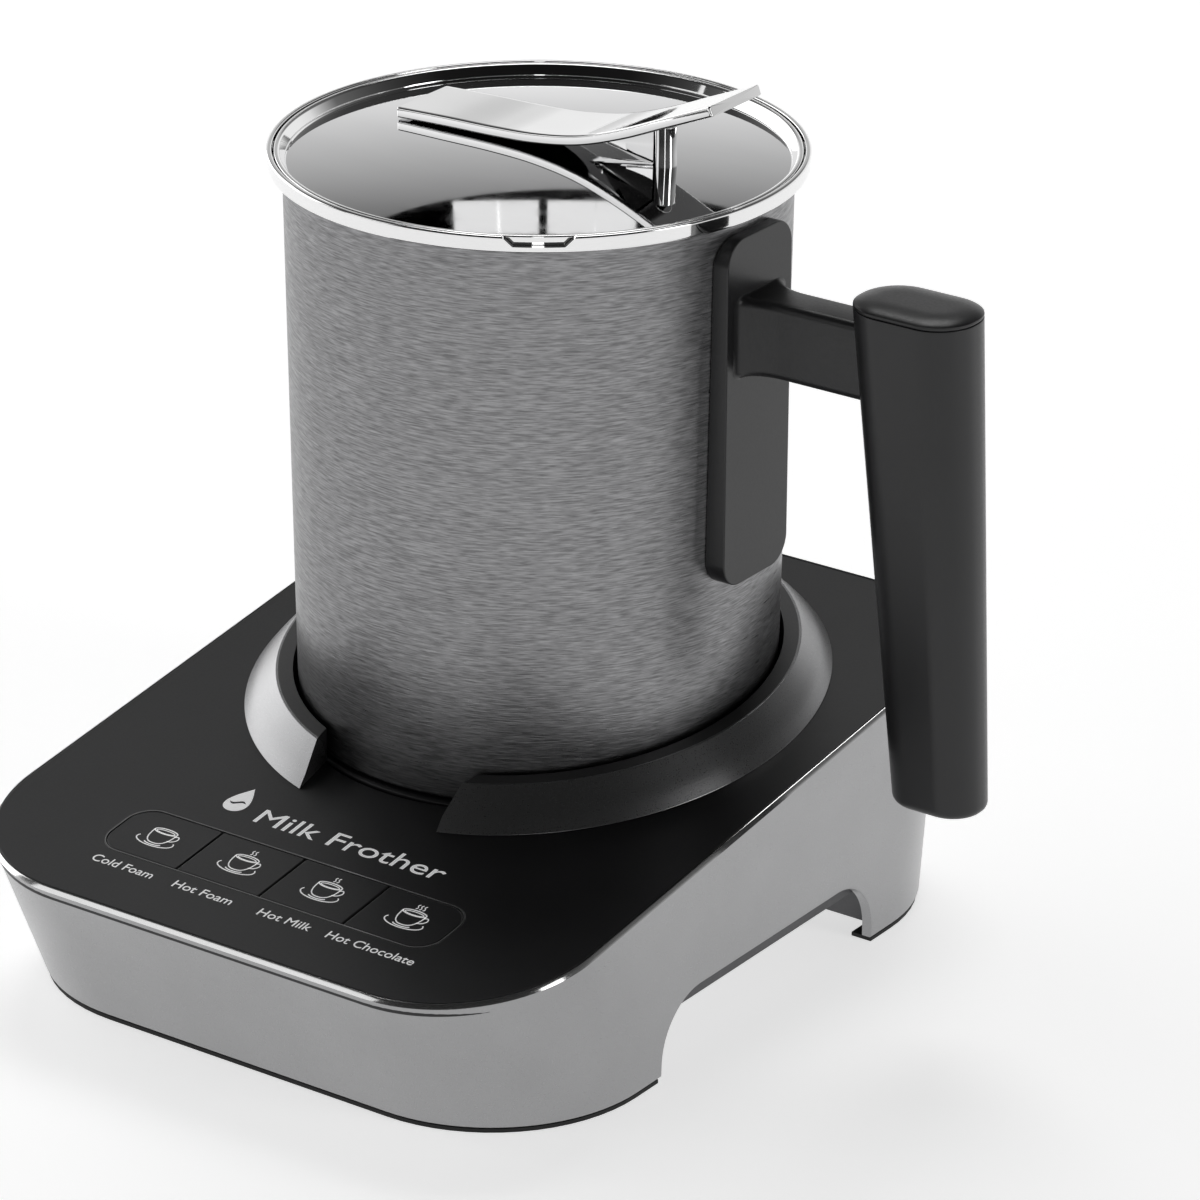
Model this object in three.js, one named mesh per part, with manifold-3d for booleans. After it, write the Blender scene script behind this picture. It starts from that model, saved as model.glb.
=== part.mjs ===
// Induction milk frother: a sloping control base, a lift-off steel jug with a
// side handle, a glass lid with a wave-shaped handle, and a magnetic whisk.
//
// Millimetres, +Z up. Each group is built around the jug's axis (x = y = 0) with
// z = 0 on the table. The outermost group moves the whole object so that its
// origin is the bottom centre of its bounding box. The keys face -Y and the
// jug's handle points along +X.

import * as THREE from 'three';
import { mergeVertices } from 'three/addons/utils/BufferGeometryUtils.js';
import Module from 'manifold-3d';

const wasm = await Module();
wasm.setup();

// ---------------------------------------------------------------- dimensions

const GAP = 0.3; // clearance between pieces that rest on each other
const TAU = 2 * Math.PI;
const ROUND = 56; // facets on a large circle
const SMALL_ROUND = 16; // facets on a small circle

// Base: the top slopes down to the front, the underside is level.
const SLOPE = 0.14; // rise of the top per millimetre towards the rear
const TOP_AT_AXIS = 47.7; // height of the sloping top on the jug's axis
const SHELL_TOP = { half: 69.2, front: -108.7, rear: 65, radius: 31 };
const SHELL_FOOT = { half: 68.6, front: -96.6, rear: 62, radius: 34.4 };
const SHELL_WALL = 2.2;
const SHELL_LIP = 0.7; // bright rim left standing around the top plate
const PLATE_THICK = 3;
const FOOT_HEIGHT = 0.8;
const SHELL_BOTTOM = FOOT_HEIGHT + GAP;
const ARCH_FRONT = -54.3;
const ARCH_REAR = 19.7;
const ARCH_TOP = 16.1;
const ARCH_RADIUS = 13;
const FLOOR_BOTTOM = 12.2; // underside of the raised middle floor
const FLOOR_THICK = 2;
const LEG_FLOOR = SHELL_BOTTOM + 1.5; // underside of the floor in the two legs
const LEG_STEP = 3; // length of the floor's slope between leg and middle
const FOOT_INSET = 0.4;
const FOOT_WIDTH = 5;
const GLAND_HEIGHT = 22;
const GLAND_BORE = 4.6;
const SCREW_PLACES = [[-46, -72], [46, -72], [-46, 40], [46, 40]];
const SCREW_BORE = 2;
const SCREW_RADIUS = 1.6;
const SCREW_HEAD = 3.2;

// Keys: four in one rounded cut-out near the front edge.
const KEY_COUNT = 4;
const KEY_ROW = { half: 40.6, front: -91.8, rear: -76.1, radius: 5.5 };
const KEY_GAP = 0.4;
const KEY_THICK = 2.2;
const KEY_STEM = 2;
const KEY_STEM_RADIUS = 2.5;
const KEY_TRAVEL = 0.8;
const CARRIER_THICK = 2; // tray under the keys
const BOARD_THICK = 1.6;
const SWITCH_HALF = 3;
const SWITCH_HEIGHT = 1.6;
const PLUNGER_RADIUS = 1.6;
const PLUNGER_HEIGHT = 2.3;

// Jug seat and the open collar around it.
const JUG_SEAT = 41.8; // height of the jug's underside
const COLLAR_INNER = 49.5;
const COLLAR_TOP_OUTER = 52.95;
const COLLAR_FOOT_OUTER = 59.4;
const COLLAR_HEIGHT = 7.1;
const COLLAR_GAP_TOP = 19.4; // half width of the front opening
const COLLAR_GAP_FOOT = 16.8;
const PLATE_BORE = 49.9;
const SEAT_DISC_RADIUS = 49.4;
const SEAT_DISC_THICK = 4;
const SEAT_FLANGE = { inner: 44, thick: 2 };
const SEAT_WELL_WALL = 1.6;

// Heating coil under the seat, and the temperature sensor beside it.
const COIL = { inner: 18, outer: 37, thick: 3.4, turns: 4, groove: 0.6 };
const COIL_CARRIER = { inner: 14.5, outer: 39, thick: 1.8, drop: 2.3 };
const SENSOR = { x: -41.6, radius: 1.8, half: 4, left: -44.5, right: -39, base: 3 };

// Whisk drive: a can motor in a three-eared bracket turns the magnetic rotor.
const MOTOR_RADIUS = 17;
const MOTOR_TOP = 29.5;
const SHAFT_RADIUS = 1.9;
const SHAFT_BORE = 2.2;
const ROTOR_LOW = 27.5;
const ROTOR_DISC_LOW = 31;
const ROTOR_TOP = 36.5;
const ROTOR_RADIUS = 12.6;
const BRACKET = { inner: 17.4, outer: 20.5, height: 7, ears: 3, earReach: 24, earRadius: 4, earThick: 2.5 };

// Power board behind the seat: [x0, x1, y0, y1, height] of each block, [x, y] of each can.
const POWER_BOARD = { half: 41, front: 29, rear: 55, low: 8 };
const BOARD_BLOCKS = [
  [-39, -27, 32, 50, 16], [-22, -12, 34, 46, 12], [18, 26, 32, 52, 18], [30, 39, 34, 50, 10],
];
const BOARD_CANS = [[-4, 38], [8, 38], [2, 49]];
const CAN = { radius: 4.5, height: 15 };

// Jug, measured up from its own underside.
const JUG_FOOT_RADIUS = 48.3;
const JUG_TOP_RADIUS = 50;
const JUG_WALL = 0.8;
const JUG_HEIGHT = 119.4; // to the top of the rim ring
const RIM_RADIUS = 53.1;
const RIM_HEIGHT = 3.2;
const LINER_RADIUS = 46.6;
const LINER_TOP = 112;
const LINER_FLOOR = 5;
const LINER_CORNER = 6;
const NOTCH = { half: 3.2, depth: 1.9, degrees: 36 }; // pouring mark in the rim

// Handle: pad on the jug, level arm, upright grip.
const PAD_FACE = 52.2;
const PAD_HALF = 11;
const PAD_LOW = 41.5;
const PAD_HIGH = 113;
const PAD_RADIUS = 5.5;
const ARM_HALF = 4.7;
const ARM_LOW = 85.1;
const ARM_HIGH = 100.7;
const ARM_RADIUS = 1.6;
const ARM_END = 84;
const GRIP_LOW = 4.5;
const GRIP_HIGH = 104.4;
const GRIP_TOP = { inner: 75.2, outer: 100.8, half: 9, radius: 8.5 };
const GRIP_FOOT = { inner: 86.6, outer: 105.6, half: 7, radius: 6.7 };
const GRIP_EASE = 1.5; // rounding at the grip's lower end
const CAP_HEIGHT = 1.9;
const CAP_WALL = 1; // height of the cap's upright edge

// Lid, measured up from the jug's underside.
const GLASS_TOP = 117.2;
const GLASS_THICK = 2.2;
const GLASS_RADIUS = 48;
const LID_RING_OUTER = 51.6;
const LID_RING_TOP = 119.2;
const STRIP_THICK = 2.1;
const STRIP_MIDDLE_Y = 9.5;
const STRIP_HALF_WIDTH = 8.5;
// Height of the strip's upper face over the glass, an S from end to end.
const STRIP_PATH = [
  [-35.5, 2.45], [-24, 2.9], [-12, 3.2], [-2, 3.8], [8, 5.4], [18, 8.6], [28, 12.8], [39.2, 17.5],
];
const STRIP_STEPS = 20;
const POST_X = 23.3;
const POST_RADIUS = 2.4;
const FIN_HALF = 1.6;
const FIN_REACH = 16.8;

// Whisk: a spring bent into a ring round a hub.
const WHISK_FLOOR = LINER_FLOOR + 1.6; // the hub's underside stands 0.6 mm over this
const WHISK_RING = 15;
const WHISK_COIL = 3;
const WHISK_WIRE = 0.6;
const WHISK_TURNS = 14;
const WHISK_SHARE = 0.96; // part of a full circle that the spring fills

const REAR_EXTENT = SHELL_TOP.rear + 4; // the cord gland stands 4 mm proud

// ----------------------------------------------------------------- materials

function finish(color, roughness, metalness) {
  return new THREE.MeshStandardMaterial({ color, roughness, metalness });
}

const SATIN_SILVER = finish(0x9a9a9a, 0.38, 0.9);
const BRUSHED_STEEL = finish(0x8f8f8f, 0.36, 1);
const CHROME = finish(0xe6e6e6, 0.08, 1);
const BLACK_TOP = finish(0x17171a, 0.42, 0);
const BLACK_HANDLE = finish(0x1c1c1e, 0.36, 0);
const RUBBER = finish(0x0e0e0e, 0.8, 0);
const SMOKED_GLASS = finish(0x2e3032, 0.04, 0.2);
const COATING = finish(0x1a1a1a, 0.45, 0.1);
const COPPER = finish(0xb46a3a, 0.35, 1);
const BOARD = finish(0x1e4d33, 0.6, 0);
const ZINC = finish(0xa8a9ad, 0.4, 1);
const DARK_PLASTIC = finish(0x26272a, 0.7, 0);
const MAGNET = finish(0x4a4a4c, 0.5, 0.8);

// ------------------------------------------------------------- solid helpers

// A three.js geometry as a solid: shared vertices merged, faces outward.
function solid(geometry) {
  const bare = geometry.index ? geometry.toNonIndexed() : geometry.clone();
  bare.deleteAttribute('normal');
  bare.deleteAttribute('uv');
  const merged = mergeVertices(bare, 1e-4);
  const position = merged.attributes.position.array;
  const index = merged.index.array;
  const triangles = [];
  let volume = 0;
  const corner = [new THREE.Vector3(), new THREE.Vector3(), new THREE.Vector3()];
  for (let i = 0; i < index.length; i += 3) {
    const [a, b, c] = [index[i], index[i + 1], index[i + 2]];
    if (a === b || b === c || c === a) continue;
    triangles.push(a, b, c);
    corner[0].fromArray(position, 3 * a);
    corner[1].fromArray(position, 3 * b);
    corner[2].fromArray(position, 3 * c);
    volume += corner[0].dot(corner[1].cross(corner[2]));
  }
  if (volume < 0) triangles.reverse();
  return new wasm.Manifold(new wasm.Mesh({
    numProp: 3,
    vertProperties: new Float32Array(position),
    triVerts: new Uint32Array(triangles),
  }));
}

// A solid back as a three.js geometry with flat-shaded faces.
function geometryOf(body) {
  const mesh = body.getMesh();
  const geometry = new THREE.BufferGeometry();
  geometry.setAttribute('position', new THREE.BufferAttribute(mesh.vertProperties, 3));
  geometry.setIndex(new THREE.BufferAttribute(mesh.triVerts, 1));
  geometry.computeVertexNormals();
  return geometry;
}

function add(group, name, body, material) {
  const mesh = new THREE.Mesh(geometryOf(body), material);
  mesh.name = name;
  group.add(mesh);
  return mesh;
}

function box(x0, x1, y0, y1, z0, z1) {
  const geometry = new THREE.BoxGeometry(x1 - x0, y1 - y0, z1 - z0);
  return geometry.translate((x0 + x1) / 2, (y0 + y1) / 2, (z0 + z1) / 2);
}

// Upright cylinder with its foot at z0.
function post(x, y, z0, z1, radius, sides = SMALL_ROUND) {
  const geometry = new THREE.CylinderGeometry(radius, radius, z1 - z0, sides);
  return geometry.rotateX(Math.PI / 2).translate(x, y, (z0 + z1) / 2);
}

// A closed (radius, height) profile turned about Z.
function turned(profile, sides = ROUND) {
  const points = profile.map(([r, z]) => new THREE.Vector2(r, z));
  if (profile[0][0] !== 0 || profile[profile.length - 1][0] !== 0) points.push(points[0].clone());
  return new THREE.LatheGeometry(points, sides).rotateX(Math.PI / 2);
}

// A flat round plate about Z.
function disc(radius, z0, z1, sides = ROUND) {
  return turned([[0, z0], [radius, z0], [radius, z1], [0, z1]], sides);
}

// A ring of rectangular section.
function ring(inner, outer, z0, z1, sides = ROUND) {
  return turned([[inner, z0], [outer, z0], [outer, z1], [inner, z1]], sides);
}

function roundedRectangle(x0, x1, y0, y1, radius) {
  const shape = new THREE.Shape();
  shape.absarc(x1 - radius, y0 + radius, radius, -Math.PI / 2, 0);
  shape.absarc(x1 - radius, y1 - radius, radius, 0, Math.PI / 2);
  shape.absarc(x0 + radius, y1 - radius, radius, Math.PI / 2, Math.PI);
  shape.absarc(x0 + radius, y0 + radius, radius, Math.PI, Math.PI * 1.5);
  return shape;
}

// A plan outline extruded upwards from z0 to z1.
function prism(shape, z0, z1, curveSegments = 8) {
  const options = { depth: z1 - z0, bevelEnabled: false, curveSegments };
  return new THREE.ExtrudeGeometry(shape, options).translate(0, 0, z0);
}

// A side outline drawn in (y, z), extruded along X from x0 to x1.
function sidePrism(shape, x0, x1, curveSegments = 8) {
  const geometry = prism(shape, 0, x1 - x0, curveSegments);
  const axes = new THREE.Matrix4().makeBasis(
    new THREE.Vector3(0, 1, 0),
    new THREE.Vector3(0, 0, 1),
    new THREE.Vector3(1, 0, 0),
  );
  return geometry.applyMatrix4(axes).translate(x0, 0, 0);
}

// Shears a level geometry so that it follows the sloping top of the base.
function sloping(geometry) {
  return geometry.applyMatrix4(new THREE.Matrix4().makeShear(0, 0, 0, SLOPE, 0, 0));
}

// Points of a rounded plan outline, the same number for every outline.
function outlinePoints(outline, inset = 0) {
  const radius = outline.radius - inset;
  const right = outline.half - outline.radius;
  const near = outline.front + outline.radius;
  const far = outline.rear - outline.radius;
  const centres = [[right, near], [right, far], [-right, far], [-right, near]];
  const steps = 8;
  const points = [];
  centres.forEach(([x, y], corner) => {
    for (let i = 0; i <= steps; i += 1) {
      const angle = (corner - 1 + i / steps) * (Math.PI / 2);
      points.push([x + radius * Math.cos(angle), y + radius * Math.sin(angle)]);
    }
  });
  return points;
}

// Closed skin through rings of points that all have the same count.
function loft(rings) {
  const count = rings[0].length;
  const vertices = rings.flat();
  const centres = [rings[0], rings[rings.length - 1]].map((points) => {
    const middle = new THREE.Vector3();
    points.forEach((point) => middle.add(point));
    return middle.divideScalar(points.length);
  });
  const first = vertices.push(...centres) - 2;
  const index = [];
  for (let level = 0; level < rings.length - 1; level += 1) {
    for (let i = 0; i < count; i += 1) {
      const a = level * count + i;
      const b = level * count + ((i + 1) % count);
      index.push(a, b, b + count, a, b + count, a + count);
    }
  }
  const top = (rings.length - 1) * count;
  for (let i = 0; i < count; i += 1) {
    const next = (i + 1) % count;
    index.push(first, next, i, first + 1, top + i, top + next);
  }
  const geometry = new THREE.BufferGeometry().setFromPoints(vertices);
  geometry.setIndex(index);
  return geometry;
}

function topHeight(y) {
  return TOP_AT_AXIS + SLOPE * y;
}

// The base's body, straight-sided between its level foot and its sloping top.
// It reaches `extra` further at both ends.
function baseBody(inset, extra = 0) {
  const foot = outlinePoints(SHELL_FOOT, inset);
  const top = outlinePoints(SHELL_TOP, inset);
  const level = (share, lift) => foot.map(([x, y], i) => {
    const px = x + (top[i][0] - x) * share;
    const py = y + (top[i][1] - y) * share;
    const rise = (topHeight(py) - SHELL_BOTTOM) * share;
    return new THREE.Vector3(px, py, SHELL_BOTTOM + rise + lift);
  });
  const rings = [level(0, 0), level(1, 0)];
  return solid(loft(extra ? [level(0, -extra), ...rings, level(1, extra)] : rings));
}

// The top outline moved inwards, as a shape.
function topShape(inset) {
  const { half, front, rear, radius } = SHELL_TOP;
  return roundedRectangle(-half + inset, half - inset, front + inset, rear - inset, radius - inset);
}

// The foot outline moved inwards, as a shape.
function footShape(inset) {
  const { half, front, rear, radius } = SHELL_FOOT;
  return roundedRectangle(-half + inset, half - inset, front + inset, rear - inset, radius - inset);
}

// The keys' field moved inwards, as a shape.
function keyShape(inset) {
  const { half, front, rear, radius } = KEY_ROW;
  return roundedRectangle(-half + inset, half - inset, front + inset, rear - inset, radius - inset);
}

// ---------------------------------------------------------------------- base

function buildShell(group) {
  const outer = baseBody(0);
  const hollow = baseBody(SHELL_WALL, 2);
  const rebateLow = TOP_AT_AXIS - PLATE_THICK - GAP;
  const rebate = sloping(prism(topShape(SHELL_LIP), rebateLow, TOP_AT_AXIS + 4, 10));
  const arch = new THREE.Shape();
  arch.moveTo(ARCH_FRONT, -2);
  arch.lineTo(ARCH_REAR, -2);
  arch.absarc(ARCH_REAR - ARCH_RADIUS, ARCH_TOP - ARCH_RADIUS, ARCH_RADIUS, 0, Math.PI / 2);
  arch.absarc(ARCH_FRONT + ARCH_RADIUS, ARCH_TOP - ARCH_RADIUS, ARCH_RADIUS, Math.PI / 2, Math.PI);
  const arches = solid(sidePrism(arch, -SHELL_TOP.half - 5, SHELL_TOP.half + 5));
  const glandHole = new THREE.CylinderGeometry(GLAND_BORE, GLAND_BORE, 20, SMALL_ROUND);
  glandHole.translate(0, SHELL_TOP.rear, GLAND_HEIGHT);
  const shell = outer.subtract(hollow).subtract(solid(rebate)).subtract(arches);
  add(group, 'base_shell', shell.subtract(solid(glandHole)), SATIN_SILVER);
}

function buildTopPlate(group) {
  const outline = topShape(SHELL_LIP + GAP);
  const plate = solid(sloping(prism(outline, TOP_AT_AXIS - PLATE_THICK, TOP_AT_AXIS, 10)));
  const bore = solid(post(0, 0, 20, 80, PLATE_BORE, ROUND));
  const keys = solid(prism(keyShape(0), 10, 80));
  add(group, 'top_plate', plate.subtract(bore).subtract(keys), BLACK_TOP);
}

function buildKeys(group) {
  const low = TOP_AT_AXIS - KEY_THICK;
  const row = KEY_ROW;
  const field = solid(sloping(prism(keyShape(KEY_GAP), low, TOP_AT_AXIS)));
  const pitch = (2 * row.half) / KEY_COUNT;
  const middleY = (row.front + row.rear) / 2;
  for (let i = 0; i < KEY_COUNT; i += 1) {
    const left = -row.half + i * pitch;
    const slice = solid(box(left + KEY_GAP / 2, left + pitch - KEY_GAP / 2, -120, 0, 10, 80));
    const middle = left + pitch / 2;
    const stem = solid(sloping(post(middle, middleY, low - KEY_STEM, low + 1, KEY_STEM_RADIUS)));
    add(group, `key_${i + 1}`, field.intersect(slice).add(stem), BLACK_TOP);
  }
}

function buildKeyCarrier(group) {
  const high = TOP_AT_AXIS - PLATE_THICK - GAP;
  const row = KEY_ROW;
  const low = high - CARRIER_THICK;
  const tray = box(-row.half - 4, row.half + 4, row.front - 3, row.rear + 3, low, high);
  const pitch = (2 * row.half) / KEY_COUNT;
  let carrier = solid(sloping(tray));
  for (let i = 0; i < KEY_COUNT; i += 1) {
    const middle = -row.half + (i + 0.5) * pitch;
    const window = box(middle - 6, middle + 6, row.front + 3, row.rear - 3, 10, 80);
    carrier = carrier.subtract(solid(window));
  }
  add(group, 'key_carrier', carrier, DARK_PLASTIC);
}

function buildControlBoard(group) {
  const high = TOP_AT_AXIS - KEY_THICK - KEY_STEM - KEY_TRAVEL - PLUNGER_HEIGHT - GAP;
  const row = KEY_ROW;
  const pitch = (2 * row.half) / KEY_COUNT;
  const middleY = (row.front + row.rear) / 2;
  const sheet = box(-row.half - 2, row.half + 2, row.front, row.rear + 1, high - BOARD_THICK, high);
  let board = solid(sloping(sheet));
  for (let i = 0; i < KEY_COUNT; i += 1) {
    const middle = -row.half + (i + 0.5) * pitch;
    const body = box(
      middle - SWITCH_HALF,
      middle + SWITCH_HALF,
      middleY - SWITCH_HALF,
      middleY + SWITCH_HALF,
      high - 0.5,
      high + SWITCH_HEIGHT,
    );
    const plunger = post(middle, middleY, high, high + PLUNGER_HEIGHT, PLUNGER_RADIUS);
    board = board.add(solid(sloping(body))).add(solid(sloping(plunger)));
  }
  add(group, 'control_board', board, BOARD);
}

// Open ring with a flat top and a sloping flank. Its opening faces the keys.
function buildCollar(group) {
  const base = TOP_AT_AXIS + GAP;
  const top = TOP_AT_AXIS + COLLAR_HEIGHT;
  const profile = [
    [COLLAR_INNER, base],
    [COLLAR_FOOT_OUTER, base],
    [COLLAR_FOOT_OUTER - 2.2, base + 3],
    [COLLAR_TOP_OUTER, top],
    [COLLAR_INNER, top],
  ];
  const opening = new THREE.Shape();
  opening.moveTo(-COLLAR_GAP_FOOT, -COLLAR_FOOT_OUTER - 5);
  opening.lineTo(COLLAR_GAP_FOOT, -COLLAR_FOOT_OUTER - 5);
  opening.lineTo(COLLAR_GAP_FOOT, -COLLAR_FOOT_OUTER + 2);
  opening.lineTo(COLLAR_GAP_TOP, -COLLAR_INNER + 4);
  opening.lineTo(COLLAR_GAP_TOP, 0);
  opening.lineTo(-COLLAR_GAP_TOP, 0);
  opening.lineTo(-COLLAR_GAP_TOP, -COLLAR_INNER + 4);
  opening.lineTo(-COLLAR_GAP_FOOT, -COLLAR_FOOT_OUTER + 2);
  const collar = solid(sloping(turned(profile))).subtract(solid(prism(opening, 20, 90)));
  add(group, 'collar', collar, SATIN_SILVER);
}

function buildSeat(group) {
  const discTop = JUG_SEAT - GAP;
  const discLow = discTop - SEAT_DISC_THICK;
  add(group, 'seat_disc', solid(disc(SEAT_DISC_RADIUS, discLow, discTop)), BLACK_TOP);
  const flangeTop = discLow - GAP;
  const flangeLow = flangeTop - SEAT_FLANGE.thick;
  const wellInner = PLATE_BORE + 0.2;
  const wellOuter = wellInner + SEAT_WELL_WALL;
  const wall = solid(ring(wellInner, wellOuter, flangeLow, 90));
  const under = TOP_AT_AXIS - PLATE_THICK - GAP;
  const above = solid(sloping(box(-80, 80, -80, 80, under, under + 60)));
  const flange = solid(ring(SEAT_FLANGE.inner, wellOuter, flangeLow, flangeTop));
  add(group, 'seat_well', wall.subtract(above).add(flange.subtract(above)), DARK_PLASTIC);
}

function buildInduction(group) {
  const carrierTop = JUG_SEAT - GAP - SEAT_DISC_THICK - GAP - COIL_CARRIER.drop;
  const carrierLow = carrierTop - COIL_CARRIER.thick;
  const carrier = ring(COIL_CARRIER.inner, COIL_CARRIER.outer, carrierLow, carrierTop);
  add(group, 'coil_carrier', solid(carrier), DARK_PLASTIC);
  const coilTop = carrierLow - GAP;
  const step = (COIL.outer - COIL.inner) / COIL.turns;
  const profile = [];
  for (let i = 0; i < COIL.turns; i += 1) {
    const inner = COIL.inner + i * step;
    profile.push([inner, coilTop - COIL.groove], [inner + step / 2, coilTop]);
  }
  profile.push(
    [COIL.outer, coilTop - COIL.groove],
    [COIL.outer, coilTop - COIL.thick],
    [COIL.inner, coilTop - COIL.thick],
  );
  add(group, 'induction_coil', solid(turned(profile, 32)), COPPER);
  const foot = FLOOR_BOTTOM + FLOOR_THICK + GAP;
  const probe = solid(post(SENSOR.x, 0, foot, carrierTop + 1.7, SENSOR.radius, 12));
  const base = box(SENSOR.left, SENSOR.right, -SENSOR.half, SENSOR.half, foot, foot - GAP + SENSOR.base);
  add(group, 'temperature_sensor', probe.add(solid(base)), ZINC);
}

function buildDrive(group) {
  const foot = FLOOR_BOTTOM + FLOOR_THICK + GAP;
  const can = solid(turned([
    [0, foot], [MOTOR_RADIUS - 1, foot], [MOTOR_RADIUS, foot + 1.2],
    [MOTOR_RADIUS, MOTOR_TOP - 2], [MOTOR_RADIUS - 2, MOTOR_TOP], [0, MOTOR_TOP],
  ], 24));
  const bore = solid(post(0, 0, ROTOR_LOW - 1, MOTOR_TOP + 1, SHAFT_BORE));
  add(group, 'drive_motor', can.subtract(bore), ZINC);
  let bracket = solid(ring(BRACKET.inner, BRACKET.outer, foot, foot - GAP + BRACKET.height, 24));
  const earTop = foot - GAP + BRACKET.earThick;
  for (let i = 0; i < BRACKET.ears; i += 1) {
    const angle = (i * TAU) / BRACKET.ears + Math.PI / 6;
    const x = BRACKET.earReach * Math.cos(angle);
    const y = BRACKET.earReach * Math.sin(angle);
    const ear = solid(post(x, y, foot, earTop, BRACKET.earRadius));
    const spoke = box(BRACKET.outer - 1.5, BRACKET.earReach, -3, 3, foot, earTop).rotateZ(angle);
    bracket = bracket.add(ear).add(solid(spoke));
  }
  add(group, 'motor_bracket', bracket, ZINC);
  const rotor = turned([
    [0, ROTOR_LOW], [SHAFT_RADIUS, ROTOR_LOW], [SHAFT_RADIUS, ROTOR_DISC_LOW],
    [ROTOR_RADIUS, ROTOR_DISC_LOW], [ROTOR_RADIUS, ROTOR_TOP - 0.8],
    [ROTOR_RADIUS - 0.8, ROTOR_TOP], [0, ROTOR_TOP],
  ], 28);
  add(group, 'drive_rotor', solid(rotor), MAGNET);
}

function buildPowerBoard(group) {
  const { half, front, rear, low } = POWER_BOARD;
  let board = solid(box(-half, half, front, rear, low, low + BOARD_THICK));
  BOARD_BLOCKS.forEach(([x0, x1, y0, y1, height]) => {
    board = board.add(solid(box(x0, x1, y0, y1, low + 1, low + height)));
  });
  BOARD_CANS.forEach(([x, y]) => {
    board = board.add(solid(post(x, y, low + 1, low + CAN.height, CAN.radius)));
  });
  add(group, 'power_board', board, BOARD);
}

// Section of the moulded floor: deep in the two legs, raised between them.
function floorSection() {
  const low = LEG_FLOOR;
  const high = FLOOR_BOTTOM;
  const lift = FLOOR_THICK;
  const shape = new THREE.Shape();
  const points = [
    [-110, low], [ARCH_FRONT - LEG_STEP, low], [ARCH_FRONT, high], [ARCH_REAR, high],
    [ARCH_REAR + LEG_STEP, low], [80, low], [80, low + lift], [ARCH_REAR + LEG_STEP + 1, low + lift],
    [ARCH_REAR + 1, high + lift], [ARCH_FRONT - 1, high + lift],
    [ARCH_FRONT - LEG_STEP - 1, low + lift], [-110, low + lift],
  ];
  points.forEach(([y, z], i) => (i ? shape.lineTo(y, z) : shape.moveTo(y, z)));
  return shape;
}

function buildFloor(group) {
  const inside = baseBody(SHELL_WALL + GAP);
  let floor = inside.intersect(solid(sidePrism(floorSection(), -80, 80)));
  SCREW_PLACES.forEach(([x, y]) => {
    floor = floor.subtract(solid(post(x, y, -2, 12, SCREW_BORE, 12)));
  });
  add(group, 'bottom_cover', floor, DARK_PLASTIC);
  const headTop = LEG_FLOOR - GAP;
  SCREW_PLACES.forEach(([x, y], i) => {
    const screw = turned([
      [0, headTop - 0.9], [SCREW_HEAD - 0.6, headTop - 0.9], [SCREW_HEAD, headTop],
      [SCREW_RADIUS, headTop], [SCREW_RADIUS, LEG_FLOOR + 5], [0, LEG_FLOOR + 5.6],
    ], SMALL_ROUND);
    add(group, `cover_screw_${i + 1}`, solid(screw.translate(x, y, 0)), ZINC);
  });
}

// Rubber strip under one leg: it follows the shell's lower edge.
function buildFoot(group, name, y0, y1) {
  const outer = solid(prism(footShape(FOOT_INSET), 0, FOOT_HEIGHT));
  const inner = solid(prism(footShape(FOOT_WIDTH), -1, FOOT_HEIGHT + 1));
  const leg = solid(box(-90, 90, y0, y1, -1, 3));
  add(group, name, outer.subtract(inner).intersect(leg), RUBBER);
}

// Cable gland through the rear wall.
function buildGland(group) {
  const profile = [
    [2.2, -9], [6, -9], [6, -6.5], [4.2, -6], [4.2, 0.6], [6.4, 0.6], [5, 4], [2.2, 4],
  ];
  const gland = turned(profile, SMALL_ROUND).rotateX(-Math.PI / 2);
  add(group, 'cord_gland', solid(gland.translate(0, SHELL_TOP.rear, GLAND_HEIGHT)), RUBBER);
}

function buildBase() {
  const group = new THREE.Group();
  buildShell(group);
  buildTopPlate(group);
  buildKeys(group);
  buildKeyCarrier(group);
  buildControlBoard(group);
  buildCollar(group);
  buildSeat(group);
  buildInduction(group);
  buildDrive(group);
  buildPowerBoard(group);
  buildFloor(group);
  buildFoot(group, 'front_foot', -110, ARCH_FRONT - 0.5);
  buildFoot(group, 'rear_foot', ARCH_REAR + 0.5, 80);
  buildGland(group);
  return group;
}

// ----------------------------------------------------------------------- jug

function jugRadius(z) {
  const share = z / (JUG_HEIGHT - RIM_HEIGHT);
  return JUG_FOOT_RADIUS + (JUG_TOP_RADIUS - JUG_FOOT_RADIUS) * share;
}

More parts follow.
